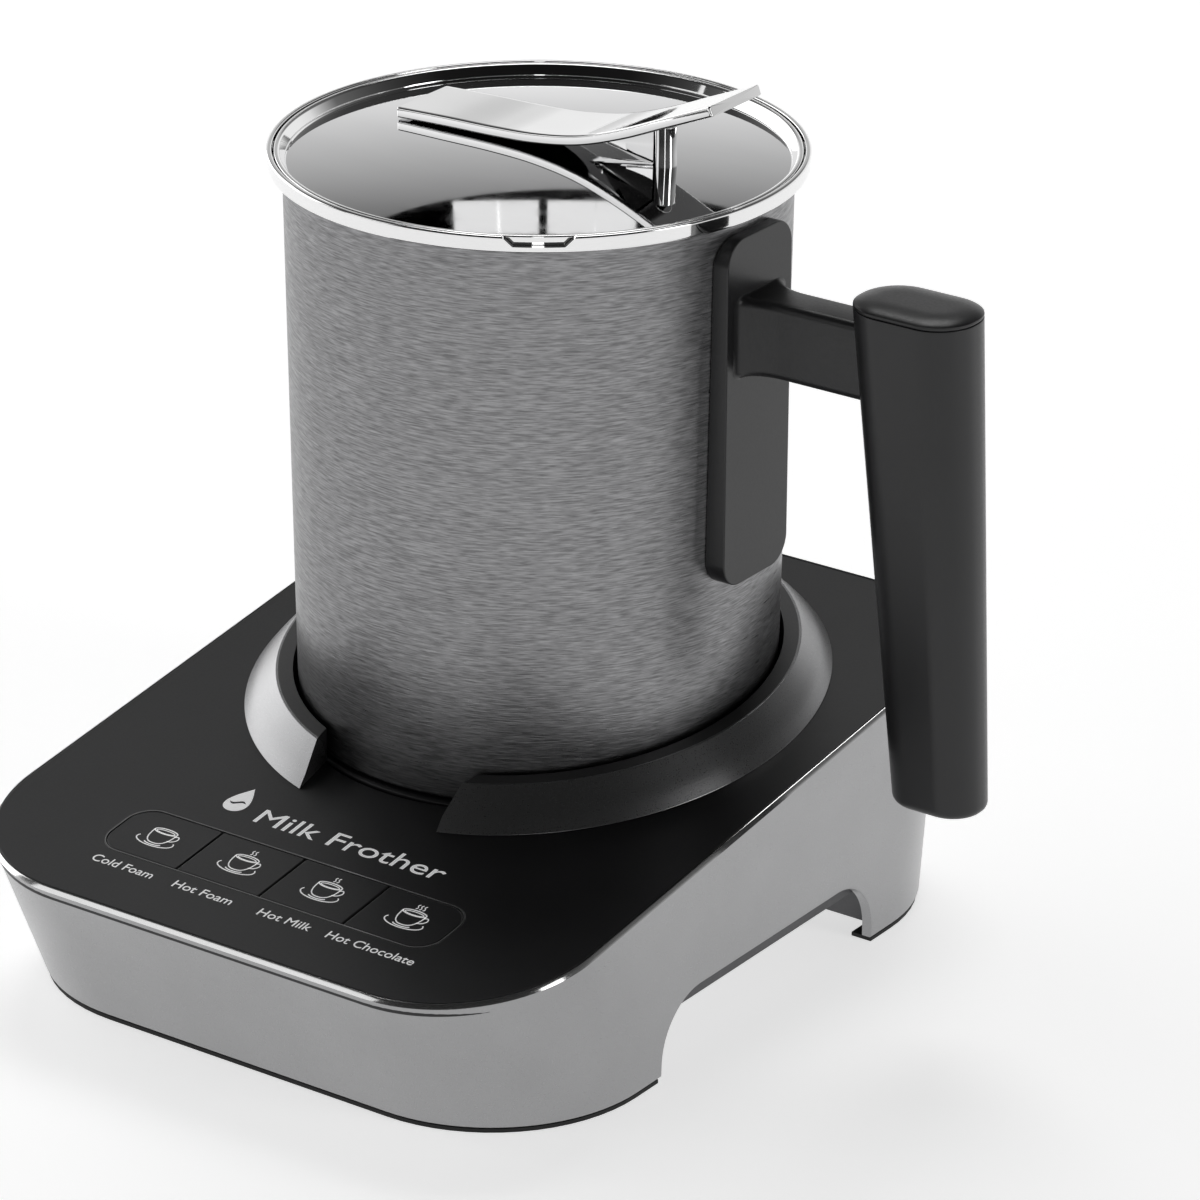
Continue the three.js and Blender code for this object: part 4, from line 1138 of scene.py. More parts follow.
@dataclass
class Seat:
    """The open collar round the jug, and the seat that the jug stands on."""

    inner: float = 49.5
    top_outer: float = 52.95
    foot_outer: float = 59.4
    height: float = 7.1
    gap_top: float = 19.4
    gap_foot: float = 16.8

    def sweep(self, section: np.ndarray) -> Skin:
        """Carries a closed section round the axis between the collar's two ends.

        A point of radius r runs from its own end angle round to the mirrored one. The
        end angle puts it on the upright plane from (gap_foot, -57.4) to (gap_top, -45.5).
        """
        radius, height = section[:, 0], section[:, 1]
        lean = (self.gap_top - self.gap_foot) / 11.9
        edge = self.gap_foot + lean * (57.4 - radius)
        across = np.clip(edge, self.gap_foot, self.gap_top)
        start = np.arcsin(across / radius)
        share = np.linspace(0, 1, 160)[:, None]
        angle = -TAU / 4 + start + share * (TAU - 2 * start)
        ring = np.stack([radius * np.cos(angle), radius * np.sin(angle), height + 0 * angle], -1)
        return Skin.grid(capped(ring), columns_closed=True).sheared()

    def body(self) -> Skin:
        """The silver body: a gently hollowed slope from the plate to the top edge."""
        base, top = TOP_AT_AXIS + 0.1, TOP_AT_AXIS + self.height
        outer = smooth_path(
            [(self.foot_outer, base), (57.3, base + 2.5), (55.0, base + 4.9), (self.top_outer, top)], 14
        )
        inner = np.array([(self.inner, top - 0.15), (self.inner, base)])
        return self.sweep(eased(np.concatenate([outer, inner]), 0.12, steps=2, hold=0.05))

    def cap(self) -> Skin:
        """The dark cap over the body's top, folded down its inner wall."""
        base, top = TOP_AT_AXIS + 0.1, TOP_AT_AXIS + self.height
        corners = [
            (self.inner - 0.05, base + 0.2), (self.inner + 0.2, base + 0.2),
            (self.inner + 0.2, top - 0.25), (self.top_outer - 0.45, top - 0.25),
            (self.top_outer - 0.45, top + 0.03), (self.inner - 0.05, top + 0.03),
        ]
        return self.sweep(eased(corners, 0.04, steps=1, hold=0.02))

    def disc(self) -> Skin:
        """The seat's disc with a raised edge, two shallow grooves and a middle dimple."""
        top = JUG_SEAT - 0.3
        low = top - 4
        corners = [
            (0, low), (49.3, low), (49.4, low + 0.3), (49.4, top - 0.3), (48.9, top), (44, top),
            (43.7, top - 0.35), (42.9, top - 0.35), (42.6, top), (30, top), (29.7, top - 0.35),
            (28.9, top - 0.35), (28.6, top), (9, top), (8.4, top - 0.7), (0, top - 0.7),
        ]
        return turned(eased(corners, 0.2, closed=False, steps=3))

    def build(self) -> None:
        """Builds and dresses the collar and seat."""
        body = self.body().stand("collar_body")
        # The collar takes the darker copy of the silver, a painted shade.
        fit(body, Body.BASE, Slot.SILVER, COLLAR_SHADED_SILVER, "collar")
        fit(self.cap().stand("collar_cap"), Body.BASE, Slot.BLACK_TOP, COLLAR_TRIM)
        fit(self.disc().stand("seat_plate"), Body.BASE, Slot.BLACK_TOP, BLACK_TOP, "seat_disc")
        reface("seat_well", DARK_PLASTIC)


# --------------------------------------------------------------------------- jug


@dataclass
class Jug:
    """The brushed steel jug with its liner, rim and underside."""

    foot_radius: float = 48.3
    top_radius: float = 50.0
    height: float = 119.4
    rim_radius: float = 53.1
    rim_height: float = 3.2
    wall: float = 0.8
    liner_radius: float = 46.6
    notch_angle: float = -54.1
    notch_top: float = 7.65
    notch_foot: float = 5.35
    notch_depth: float = 2.0

    def radius(self, z: float | np.ndarray) -> float | np.ndarray:
        """The jug's outer radius at a height over its underside."""
        share = z / (self.height - self.rim_height)
        return self.foot_radius + (self.top_radius - self.foot_radius) * share

    def shell(self) -> Skin:
        """The steel wall, with a small rounding at its foot."""
        top = self.height - self.rim_height - 0.1
        foot, high = self.radius(0), self.radius(top)
        corners = [
            (foot - 1.4, 0), (foot, 0), (foot + 0.3, 20), (high - 0.3, 95), (high, top),
            (high - self.wall, top), (foot - self.wall, 1.0),
        ]
        profile = eased(corners, [0.2, 0.9, 0.0, 0.0, 0.1, 0.1, 0.2], steps=5)
        return turned(profile, 256).moved(z=JUG_SEAT)

    def liner(self) -> Skin:
        """The coated inner vessel with a rounded floor and an out-turned top edge."""
        r, low, floor = self.liner_radius, 3.8, 5.0
        corners = [
            (0, low), (r + 1, low), (r + 1, 111.2), (48.7, 111.2),
            (48.7, 112), (r, 112), (r, floor), (0, floor),
        ]
        profile = eased(corners, [0, 6, 0.4, 0.2, 0.2, 0.6, 7, 0], closed=False, steps=8)
        return turned(profile).moved(z=JUG_SEAT)

    def rim(self) -> Skin:
        """The chrome band, with a sloping notch cut in its upper edge.

        At angle a the band's top is height - depth n, where n is (top half - |a - a0|)
        over (top half - foot half), held between 0 and 1.
        """
        top = self.height
        low = top - self.rim_height
        corners = [
            (49.5, low), (self.rim_radius - 0.1, low), (self.rim_radius, top),
            (self.rim_radius - 1.15, top), (self.rim_radius - 1.2, low + 0.7), (49.5, low + 0.7),
        ]
        profile = eased(corners, [0.1, 0.5, 0.55, 0.3, 0.2, 0.1], steps=5, hold=0.2)
        around = np.linspace(-180, 180, 289)[:-1]
        close = self.notch_angle + np.concatenate(
            [side * np.linspace(self.notch_foot - 0.3, self.notch_top + 0.3, 14) for side in (-1, 1)]
        )
        angle = np.unique(np.round(np.concatenate([around, close]), 4))
        ramp = (self.notch_top - np.abs(angle - self.notch_angle)) / (self.notch_top - self.notch_foot)
        ceiling = top - self.notch_depth * np.clip(ramp, 0, 1)
        turn = np.radians(angle)
        height = np.minimum(profile[:, 1:], ceiling)
        grid = np.stack([profile[:, :1] * np.cos(turn), profile[:, :1] * np.sin(turn), height], -1)
        return Skin.grid(grid, rows_closed=True, columns_closed=True).moved(z=JUG_SEAT)

    def underside(self) -> Skin:
        """The pressed disc under the jug, with rings that stiffen it."""
        corners = [
            (0, 0.9), (14, 0.9), (14.6, 0.6), (30, 0.6), (30.6, 1.0), (34, 1.0), (34.6, 0.6),
            (44.5, 0.6), (46.3, 1.4), (46.3, 3), (0, 3),
        ]
        return turned(eased(corners, 0.4, closed=False, steps=3)).moved(z=JUG_SEAT)

    def pin(self) -> Skin:
        """The whisk's pin on a small round foot."""
        corners = [(0, 5.3), (5, 5.3), (5, 6.2), (1.5, 7), (1.5, 14), (0, 14.8)]
        return turned(eased(corners, 0.4, closed=False), 40).moved(z=JUG_SEAT)

    def build(self) -> None:
        """Builds and dresses the jug."""
        fit(self.shell().stand("jug_wall"), Body.JUG, Slot.STEEL, STEEL, "jug_shell")
        fit(self.liner().stand("jug_vessel"), Body.JUG, Slot.COATING, COATING, "jug_liner")
        fit(self.rim().stand("jug_band", 28), Body.JUG, Slot.CHROME, CHROME, "jug_rim")
        fit(self.underside().stand("jug_underside"), Body.JUG, Slot.ZINC, PLAIN_STEEL, "jug_base")
        fit(self.pin().stand("pin_for_whisk"), Body.JUG, Slot.ZINC, WIRE, "whisk_pin")


@dataclass
class Handle:
    """The pad on the jug's side, the level arm, and the upright grip with its cap."""

    pad_face: float = 52.2
    pad_half: float = 11.0
    pad_low: float = 41.5
    pad_high: float = 113.0
    pad_radius: float = 5.5
    arm_half: float = 4.7
    arm_low: float = 85.1
    arm_high: float = 100.7
    grip_low: float = 4.5
    grip_high: float = 104.4
    foot: tuple[float, float, float, float] = (86.6, 105.6, 7.0, 6.7)
    top: tuple[float, float, float, float] = (75.2, 100.8, 9.0, 8.5)
    cap: float = 1.9

    def pad(self, jug: Jug) -> Skin:
        """The pad: flat in front, hollow behind to fit the jug.

        Its rows are copies of the rounded outline, shrunk towards the middle. A back row
        stands at x = sqrt(R(z)^2 - y^2), just off the steel.

        Args:
            jug: gives the steel's radius R at each height.

        Returns:
            The closed skin.
        """
        y, z = (-self.pad_half, self.pad_half), (self.pad_low, self.pad_high)
        loop = rounded_loop(y, z, self.pad_radius, 16)
        middle = np.array([0, (self.pad_low + self.pad_high) / 2])
        tangent = np.roll(loop, -1, axis=0) - np.roll(loop, 1, axis=0)
        tangent /= np.linalg.norm(tangent, axis=1, keepdims=True)
        normal = np.stack([tangent[:, 1], -tangent[:, 0]], -1)

        def row(inset: float, x: float | None, share: float = 1.0) -> np.ndarray:
            """One row of the pad, on its face at x or on the jug where x is None."""
            flat = middle + (loop - inset * normal - middle) * share
            if x is None:
                steel = jug.radius(flat[:, 1]) + 0.1
                depth = np.sqrt(steel**2 - flat[:, 0] ** 2)
            else:
                depth = np.full(len(flat), x)
            return np.column_stack([depth, flat])

        edge = 0.3
        t = np.linspace(0, TAU / 4, 6)
        rows = [row(0.1, None, share) for share in (0.02, 0.4, 0.8)]
        rows += [row(0.1, None), row(0.0, None) + np.array([0.1, 0, 0])]
        rows += [
            row(edge * (1 - math.cos(a)), self.pad_face - edge * (1 - math.sin(a))) for a in t
        ]
        rows += [row(edge * 1.5, self.pad_face, share) for share in (1.0, 0.6, 0.02)]
        return Skin.grid(capped(np.stack(rows)), columns_closed=True).moved(z=JUG_SEAT)

    def outline(self, height: np.ndarray | float, inset: float = 0.0) -> np.ndarray:
        """The grip's rounded section at a height, mixed between its foot and its top."""
        share = (height - self.grip_low) / (self.grip_high - self.grip_low)
        inner, outer, half, radius = np.array(self.foot) + share * (
            np.array(self.top) - np.array(self.foot)
        )
        x = (inner + inset, outer - inset)
        return rounded_loop(x, (-half + inset, half - inset), max(radius - inset, 0.3), 16)

    def level(self, height: float, inset: float, lift: float = 0.0) -> np.ndarray:
        """A row of the grip at a height, moved inwards and raised by the lift."""
        flat = self.outline(height, inset)
        return np.column_stack([flat, np.full(len(flat), height + lift)])

    def grip(self) -> Skin:
        """The upright grip: rounded rectangles stacked from its foot to its top."""
        low, high = self.grip_low, self.grip_high
        foot_edge, top_edge = 1.6, 0.12
        turn = [(1 - math.sin(a), 1 - math.cos(a)) for a in np.linspace(0, TAU / 4, 6)]
        rows = [self.level(low, 5.0), self.level(low, 2.0)]
        rows += [self.level(low + foot_edge * c, foot_edge * s) for s, c in turn]
        rows += [self.level(z, 0.0) for z in np.linspace(low + 2.2, high - 0.6, 14)]
        rows += [self.level(high - top_edge * s, top_edge * c) for s, c in turn]
        rows += [self.level(high, 0.6), self.level(high, 5.0)]
        return Skin.grid(capped(np.stack(rows)), columns_closed=True).moved(z=JUG_SEAT)

    def crown(self) -> Skin:
        """The grip's domed cap.

        Its rows are the top outline moved inwards by d, at the height
        0.7 + (cap - 0.7) (1 - (1 - d/r)^2.6)^0.75, with r the reach of the dome.
        """
        high = self.grip_high
        rows = [self.level(high, 5.0, 0.05), self.level(high, 0.5, 0.05), self.level(high, 0.2, 0.07)]
        rows += [self.level(high, 0.04, 0.28), self.level(high, 0.0, 0.5), self.level(high, 0.06, 0.66)]
        reach, wall = 6.2, 0.7
        inset = reach * np.linspace(0.04, 1, 12) ** 1.5
        rise = wall + (self.cap - wall) * (1 - (1 - inset / reach) ** 2.6) ** 0.75
        rows += [self.level(high, d, z) for d, z in zip(inset, rise)]
        return Skin.grid(capped(np.stack(rows)), columns_closed=True).moved(z=JUG_SEAT)

    def arm(self) -> Skin:
        """The arm: a rounded section carried along X, flaring sideways where it meets the pad.

        With a the share of the flare's reach that is left, the section grows by
        1 - sqrt(1 - a^2) of a width sideways and of a much smaller one up and down.
        """
        half, low, high = self.arm_half, self.arm_low, self.arm_high
        section = rounded_loop((-half, half), (low, high), 1.7, 8)
        middle = np.array([0, (low + high) / 2])
        extent = np.array([half, (high - low) / 2])
        start, reach = self.pad_face + 0.02, 8.0
        near = start + reach * (1 - np.cos(np.linspace(0, TAU / 4, 12)))
        x = np.concatenate([near, np.linspace(start + reach + 2, 83.0, 10)])
        away = np.clip(1 - (x - start) / reach, 0, 1)
        flare = 1 - np.sqrt(1 - away**2)
        growth = np.array([4.2, 0.7]) * flare[:, None, None]
        flat = section[None] + (section - middle) / extent * growth
        depth = np.broadcast_to(x[:, None, None], (*flat.shape[:2], 1))
        ring = np.concatenate([depth, flat], axis=-1)
        return Skin.grid(capped(ring), columns_closed=True).moved(z=JUG_SEAT)

    def build(self, jug: Jug) -> None:
        """Builds and dresses the handle on that jug."""
        pad = self.pad(jug).stand("handle_plate", 40)
        fit(pad, Body.JUG, Slot.HANDLE, HANDLE_BLACK, "handle_pad")
        arm = self.arm().stand("handle_bridge", 40)
        fit(arm, Body.JUG, Slot.HANDLE, HANDLE_BLACK, "handle_arm")
        fit(self.grip().stand("handle_post", 40), Body.JUG, Slot.HANDLE, HANDLE_BLACK, "handle_grip")
        fit(self.crown().stand("handle_crown", 40), Body.JUG, Slot.HANDLE, HANDLE_BLACK, "grip_cap")


# --------------------------------------------------------------------------- lid


@dataclass
class Lid:
    """The glass lid with its chrome ring and the wave-shaped handle on one post."""

    glass_top: float = 117.2
    glass_radius: float = 49.3
    ring_top: float = 119.2
    ring_outer: float = 51.6
    dome: float = 0.9
    crown: float = 0.5
    strip_thick: float = 2.1
    strip_y: float = 9.5
    strip_half: float = 8.5
    strip_path: tuple[tuple[float, float], ...] = (
        (-35.5, 2.45), (-24, 2.9), (-12, 3.2), (-2, 3.8), (8, 5.4), (18, 8.6), (28, 12.8), (39.2, 17.5),
    )
    post_x: float = 23.3
    post_radius: float = 2.4

    def glass(self) -> Skin:
        """The smoked glass, a shallow dome: z = top + crown - dome (r / R)^2."""
        radius = np.linspace(0, self.glass_radius, 14)
        height = self.glass_top + self.crown - self.dome * (radius / self.glass_radius) ** 2
        upper = np.stack([radius, height], -1)
        side = np.array([(49.25, 116.65), (48.2, 116.6), (48.1, 115.0), (0, 115.0)])
        return turned(np.concatenate([upper, side]), 224).moved(z=JUG_SEAT)

    def ring(self) -> Skin:
        """The chrome ring that holds the glass and rests on the jug's rim."""
        corners = [
            (46.8, 113.9), (48.6, 113.9), (48.8, 116.2), (49.4, 117.15), (self.ring_outer, 117.2),
            (self.ring_outer, self.ring_top), (50.6, self.ring_top), (49.4, 117.25), (49.4, 116.55),
            (48.4, 116.45), (48.3, 114.7), (46.8, 114.7),
        ]
        radii = [0.2, 0.3, 0.2, 0.1, 0.15, 0.35, 0.35, 0.15, 0.05, 0.1, 0.1, 0.2]
        return turned(eased(corners, radii, steps=4, hold=0.1), 256).moved(z=JUG_SEAT)

    def seal(self) -> Skin:
        """The lipped rubber seal under the ring."""
        corners = [(44.2, 108.6), (46.2, 108), (46.2, 109.2), (45.6, 109.6), (45.6, 113.2), (44.2, 113.2)]
        return turned(eased(corners, 0.25, steps=3)).moved(z=JUG_SEAT)

    def strip(self) -> Skin:
        """The wave: a rounded flat section carried along the S path, with round corners.

        A row's middle is the path's point less half the thickness along the path's
        normal. Within the corner radius c of an end the half width shrinks to
        half - c + sqrt(c^2 - (c - d)^2) at distance d from the end.
        """
        path = smooth_path(self.strip_path, 121)
        along = np.gradient(path, axis=0)
        length = np.concatenate([[0], np.cumsum(np.linalg.norm(np.diff(path, axis=0), axis=1))])
        corner = 0.4
        ease = corner * (1 - np.cos(np.linspace(0, TAU / 4, 8)))
        stations = np.concatenate([ease, np.linspace(corner + 0.4, length[-1] - corner - 0.4, 70)])
        stations = np.concatenate([stations, length[-1] - ease[::-1]])
        point = np.stack([np.interp(stations, length, path[:, k]) for k in (0, 1)], -1)
        along = np.stack([np.interp(stations, length, along[:, k]) for k in (0, 1)], -1)
        along /= np.linalg.norm(along, axis=1, keepdims=True)
        normal = np.stack([-along[:, 1], along[:, 0]], -1)
        end = np.minimum(stations, length[-1] - stations)
        short = np.maximum(corner - end, 0)
        half = self.strip_half - corner + np.sqrt(np.maximum(corner**2 - short**2, 0))
        thick = self.strip_thick
        edge = 0.42
        t = np.linspace(0, TAU / 4, 6)
        inward = edge * (1 - np.sin(t))
        rise = edge * (1 - np.cos(t))
        y_part = np.concatenate([[-2.2 * edge], -inward, -inward[::-1], [-2.2 * edge]])
        z_part = np.concatenate([[-thick], -thick + rise, -rise[::-1], [0.0]])
        right_y = half[:, None] + y_part[None]
        left_y = -right_y[:, ::-1]
        y = np.concatenate([right_y, left_y], axis=1)
        z = np.concatenate([z_part, z_part[::-1]])[None] + 0 * y
        world_x = point[:, :1] + normal[:, :1] * z
        world_z = point[:, 1:] + normal[:, 1:] * z
        ring = np.stack([world_x, y + self.strip_y, world_z + self.glass_top], -1)
        return Skin.grid(capped(ring), columns_closed=True).moved(z=JUG_SEAT)

    def post(self) -> Skin:
        """The post: a round column, a little wider at its top."""
        wide = self.post_radius
        corners = [(0, 0.1), (wide, 0.1), (wide - 0.1, 4), (wide, 8.4), (0, 8.4)]
        profile = eased(corners, [0, 0.15, 1.5, 0.1, 0], closed=False, steps=6)
        return turned(profile, 56).moved(self.post_x, self.strip_y, self.glass_top + JUG_SEAT)

    def fin(self) -> Skin:
        """The web between post and strip: thin, with a hollow lower edge.

        Its lower edge rises as z = 0.6 + 2.4 s^0.9 with the share s of its length back
        from the post, and its upper edge follows the strip's underside.
        """
        back = np.linspace(0, 1, 28)
        x = self.post_x - 1.5 - 15.3 * back
        path = smooth_path(self.strip_path, 121)
        roof = np.interp(x, path[:, 0], path[:, 1]) - self.strip_thick - 0.05
        foot = np.minimum(0.6 + 2.4 * back**0.9, roof - 0.05)
        half = 1.7
        corners = []
        for y, part in (
            (-0.5, -0.03), (-0.9, 0.0), (-1.0, 0.1), (-0.9, 0.5), (-1.0, 0.9), (-1.05, 1.0),
            (1.05, 1.0), (1.0, 0.9), (0.9, 0.5), (1.0, 0.1), (0.9, 0.0), (0.5, -0.03),
        ):
            z = foot + (roof - foot) * part
            corners.append(np.stack([x, np.full_like(x, y * half + self.strip_y), z + self.glass_top], -1))
        return Skin.grid(capped(np.stack(corners, axis=1)), columns_closed=True).moved(z=JUG_SEAT)

    def build(self) -> None:
        """Builds and dresses the lid."""
        fit(self.glass().stand("lid_pane", 30), Body.LID, Slot.GLASS, GLASS, "lid_glass")
        fit(self.ring().stand("lid_hoop", 30), Body.LID, Slot.CHROME, CHROME, "lid_ring")
        fit(self.seal().stand("lid_lip"), Body.LID, Slot.RUBBER, RUBBER, "lid_seal")
        fit(self.strip().stand("lid_wave", 50), Body.LID, Slot.CHROME, CHROME, "lid_handle")
        fit(self.post().stand("lid_column", 30), Body.LID, Slot.CHROME, CHROME, "lid_post")
        fit(self.fin().stand("lid_web", 30), Body.LID, Slot.CHROME, CHROME)
        reface("lid_washer", RUBBER)
        reface("lid_screw", ZINC)


@dataclass
class Whisk:
    """The hub with its magnets and the spring bent into a ring."""

    ring: float = 15.0
    coil: float = 3.0
    wire: float = 0.55
    turns: int = 30
    floor: float = 6.6

    def hub(self) -> Skin:
        """The turned hub, open in the middle for its pin."""
        z = self.floor
        corners = [
            (2, z + 0.6), (8.4, z + 0.6), (9, z + 1.2), (9, z + 4.6), (8.2, z + 5.4), (4.6, z + 6.2),
            (4, z + 7.2), (3.6, z + 9), (2, z + 9),
        ]
        return turned(eased(corners, 0.35), 72).moved(z=JUG_SEAT)

    def arms(self) -> Skin:
        """Three flat spokes that hold the spring, each bent over a coil."""
        z = self.floor + 2.4
        spokes = []
        for turn in (0.3, 0.3 + TAU / 3, 0.3 + 2 * TAU / 3):
            reach = np.linspace(8.2, 12.2, 6)
            path = np.stack([reach * np.cos(turn), reach * np.sin(turn)], -1)
            spokes.append(stroke(path, 1.8, z, z + 1.2))
        return spokes[0].with_others(*spokes[1:]).moved(z=JUG_SEAT)

    def spring(self) -> Skin:
        """The spring: a small circle of the coil's radius carried round a large one.

        At share s the wire stands at ring + coil cos(turns 2 pi s) from the axis, at the
        angle 0.96 of 2 pi s, and coil sin(turns 2 pi s) over the ring's middle.
        """
        share = np.linspace(0, 1, self.turns * 16)
        around, turn = share * TAU * 0.96, share * TAU * self.turns
        out = np.stack([np.cos(around), np.sin(around), 0 * around], -1)
        up = np.array([0, 0, 1.0])
        aside = np.cos(turn)[:, None] * out + np.sin(turn)[:, None] * up
        path = self.ring * out + self.coil * aside
        height = JUG_SEAT + self.floor + self.coil + 0.6
        return tube(path, aside, self.wire, 8).moved(z=height)

    def build(self) -> None:
        """Builds and dresses the whisk."""
        fit(self.hub().stand("whisk_core"), Body.WHISK, Slot.PLASTIC, DARK_PLASTIC, "whisk_hub")
        fit(self.arms().stand("whisk_arms"), Body.WHISK, Slot.PLASTIC, DARK_PLASTIC)
        fit(self.spring().stand("whisk_coil", 60), Body.WHISK, Slot.ZINC, WIRE, "whisk_spring")


class Works:
    """The parts inside the base, which keep the frame's own shapes."""

    finishes: dict[str, Finish] = {
        "coil_carrier": DARK_PLASTIC,
        "induction_coil": COPPER,
        "temperature_sensor": ZINC,
        "drive_motor": ZINC,
        "motor_bracket": ZINC,
        "drive_rotor": MAGNET,
        "power_board": BOARD,
    }

    def build(self) -> None:
        """Dresses each inner part."""
        for name, finish in self.finishes.items():
            reface(name, finish)


# ------------------------------------------------------------------------ studio


@dataclass
class Studio:
    """The pale floor, the soft light and the camera."""

    azimuth: float = 35.221
    elevation: float = 23.364
    roll: float = 0.323
    distance: float = 1.19
    aim: tuple[float, float, float] = (-0.00006, 0.01567, 0.07078)
    lens: float = 179.96
    zone_elevation: float = 24.9
    zone_radius: float = 3.7
    pane_elevation: float = 25.6
    pane_height: float = 1.9
    pane_glow: float = 0.9
    pane_edges: tuple[tuple[float, float], ...] = (
        (-2.42, -1.57), (-1.51, -0.75), (-0.48, 0.42), (0.51, 1.27),
    )

    def camera(self) -> None:
        """The camera, looking down at the front right of the object from a distance."""
        side, lift = math.radians(self.azimuth), math.radians(self.elevation)
        back = Vector(
            (math.sin(side) * math.cos(lift), -math.cos(side) * math.cos(lift), math.sin(lift))
        )
        right = Vector((math.cos(side), math.sin(side), 0))
        up = back.cross(right)
        tilt = math.radians(self.roll)
        across = right * math.cos(tilt) + up * math.sin(tilt)
        over = up * math.cos(tilt) - right * math.sin(tilt)
        data = bpy.data.cameras.new("camera")
        data.lens = self.lens
        data.sensor_width = 36
        data.clip_start = 0.05
        data.clip_end = 60
        camera = bpy.data.objects.new("camera", data)
        turn = Matrix((across, over, back)).transposed().to_4x4()
        camera.matrix_world = Matrix.Translation(Vector(self.aim) + back * self.distance) @ turn
        bpy.context.scene.collection.objects.link(camera)
        bpy.context.scene.camera = camera

    def floor(self) -> None:
        """A wide pale floor that lies just under the feet."""
        mesh = bpy.data.meshes.new("studio_floor")
        size = 14.0
        corners = [(-size, -size, 0), (size, -size, 0), (size, size, 0), (-size, size, 0)]
        mesh.from_pydata(corners, [], [(0, 1, 2, 3)])
        floor = bpy.data.objects.new("studio_floor", mesh)
        bpy.context.scene.collection.objects.link(floor)
        graph = Graph("pale_floor")
        graph.set(Roughness=0.9, Specular_IOR_Level=0.1, Emission_Strength=0.62)
        graph.shader.inputs["Base Color"].default_value = (0.86, 0.86, 0.86, 1)
        graph.shader.inputs["Emission Color"].default_value = (1, 1, 1, 1)
        mesh.materials.append(graph.material)

    def sky(self) -> None:
        """A soft surround: bright low down on the left, dark high up and in front.

        Its strength is a fall with height times a fall from the left to the right, and
        it is nothing within a small round zone behind the object.
        """
        world = bpy.data.worlds.new("studio")
        bpy.context.scene.world = world
        world.use_nodes = True
        nodes, links = world.node_tree.nodes, world.node_tree.links
        place = nodes.new("ShaderNodeTexCoord")
        split = nodes.new("ShaderNodeSeparateXYZ")
        links.new(place.outputs["Generated"], split.inputs["Vector"])
        height = nodes.new("ShaderNodeValToRGB")
        stops = height.color_ramp.elements
        stops[0].position, stops[0].color = 0.25, (1, 1, 1, 1)
        stops[1].position, stops[1].color = 0.38, (0.22, 0.22, 0.22, 1)
        last = stops.new(0.7)
        last.color = (0.07, 0.07, 0.07, 1)
        links.new(split.outputs["Z"], height.inputs["Fac"])
        lean = nodes.new("ShaderNodeVectorMath")
        lean.operation = "DOT_PRODUCT"
        lean.inputs[1].default_value = Vector((-0.6, 0.8, 0))
        links.new(place.outputs["Generated"], lean.inputs[0])
        side = nodes.new("ShaderNodeMapRange")
        side.inputs["From Min"].default_value = -0.5
        side.inputs["From Max"].default_value = 0.7
        side.inputs["To Min"].default_value = 0.1
        side.inputs["To Max"].default_value = 0.95
        links.new(lean.outputs["Value"], side.inputs["Value"])
        zone = nodes.new("ShaderNodeVectorMath")
        zone.operation = "DOT_PRODUCT"
        zone.inputs[1].default_value = self.behind(self.zone_elevation, 0)
        links.new(place.outputs["Generated"], zone.inputs[0])
        outside = nodes.new("ShaderNodeMath")
        outside.operation = "LESS_THAN"
        outside.inputs[1].default_value = math.cos(math.radians(self.zone_radius))
        links.new(zone.outputs["Value"], outside.inputs[0])
        both = nodes.new("ShaderNodeMath")
        both.operation = "MULTIPLY"
        links.new(height.outputs["Color"], both.inputs[0])
        links.new(side.outputs["Result"], both.inputs[1])
        left = nodes.new("ShaderNodeMath")
        left.operation = "MULTIPLY"
        links.new(both.outputs["Value"], left.inputs[0])
        links.new(outside.outputs["Value"], left.inputs[1])
        nodes["Background"].inputs["Color"].default_value = (1, 1, 1, 1)
        links.new(left.outputs["Value"], nodes["Background"].inputs["Strength"])

    def behind(self, elevation: float, aside: float) -> Vector:
        """The direction seen over the object at an elevation, turned aside by degrees."""
        turn = math.radians(self.azimuth - aside)
        rise = math.radians(elevation)
        return Vector(
            (-math.sin(turn) * math.cos(rise), math.cos(turn) * math.cos(rise), math.sin(rise))
        )

    def panes(self) -> None:
        """Four small bright panes in the dark zone, which the glass lid mirrors."""
        reach = 3.0
        for number, (left, right) in enumerate(self.pane_edges):
            middle = self.behind(self.pane_elevation, (left + right) / 2) * reach
            width = reach * math.radians(right - left)
            tall = reach * math.radians(self.pane_height)
            power = self.pane_glow * math.pi * width * tall
            self.softbox(f"pane_{number + 1}", tuple(middle), (width, tall), power)

    def softbox(
        self, name: str, place: tuple[float, float, float], size: tuple[float, float], power: float
    ) -> None:
        """A rectangular soft light turned to the object.

        Args:
            name: the light's name.
            place: where it hangs, in metres.
            size: its width and height.
            power: its power in watts.
        """
        data = bpy.data.lights.new(name, "AREA")
        data.shape = "RECTANGLE"
        data.size, data.size_y = size
        data.energy = power
        light = bpy.data.objects.new(name, data)
        toward = Vector((0, 0, 0.08)) - Vector(place)
        turn = toward.to_track_quat("-Z", "Y").to_matrix().to_4x4()
        light.matrix_world = Matrix.Translation(place) @ turn
        bpy.context.scene.collection.objects.link(light)

    def build(self) -> None:
        """Sets up the whole studio."""
        self.camera()
        self.floor()
        self.sky()
        self.panes()
        self.softbox("left", (-1.7, 0.1, 0.5), (1.8, 1.4), 11)
        self.softbox("above", (-0.6, 0.9, 2.0), (1.0, 1.0), 11)
        self.softbox("right_strip", (1.8, 0.1, 0.7), (0.5, 1.1), 5)
        self.softbox("front_left", (-1.2, -1.45, 0.85), (0.8, 0.85), 1.9)
        self.softbox("front_strip", (1.25, -1.75, 0.75), (0.18, 0.7), 0.9)
        bpy.context.scene.view_settings.view_transform = "Standard"


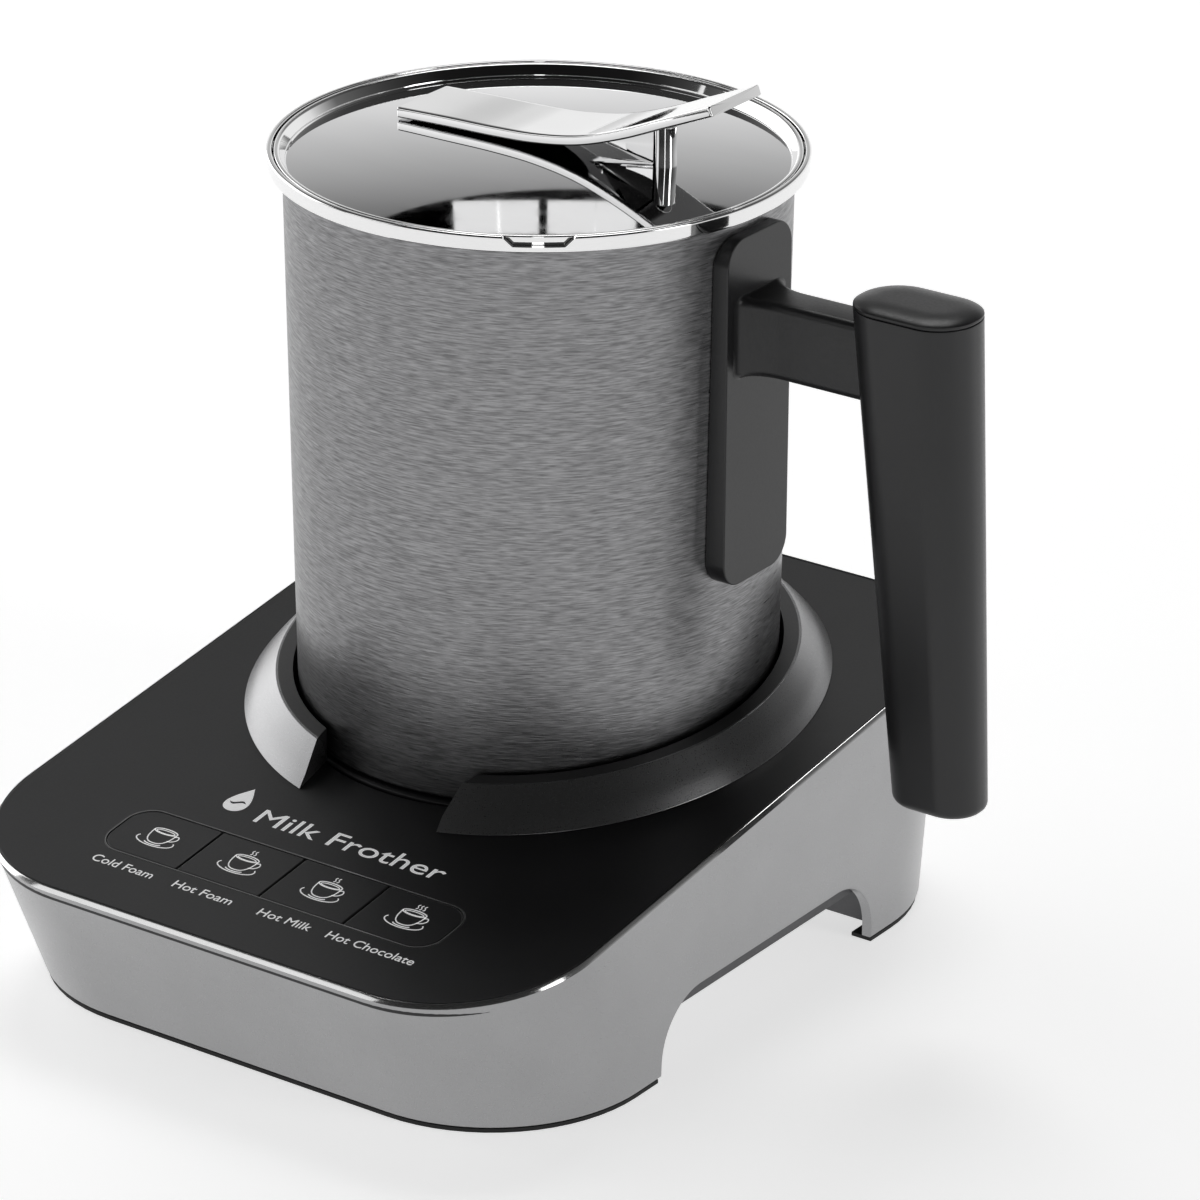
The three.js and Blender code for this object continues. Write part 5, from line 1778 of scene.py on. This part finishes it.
def main() -> None:
    """Builds the studio and every sub-assembly."""
    logging.basicConfig(level=logging.INFO, format="%(message)s")
    Studio().build()
    Housing().build()
    KeyRow().build()
    Seat().build()
    jug = Jug()
    jug.build()
    Handle().build(jug)
    Lid().build()
    Whisk().build()
    Works().build()


if __name__ == "__main__":
    main()
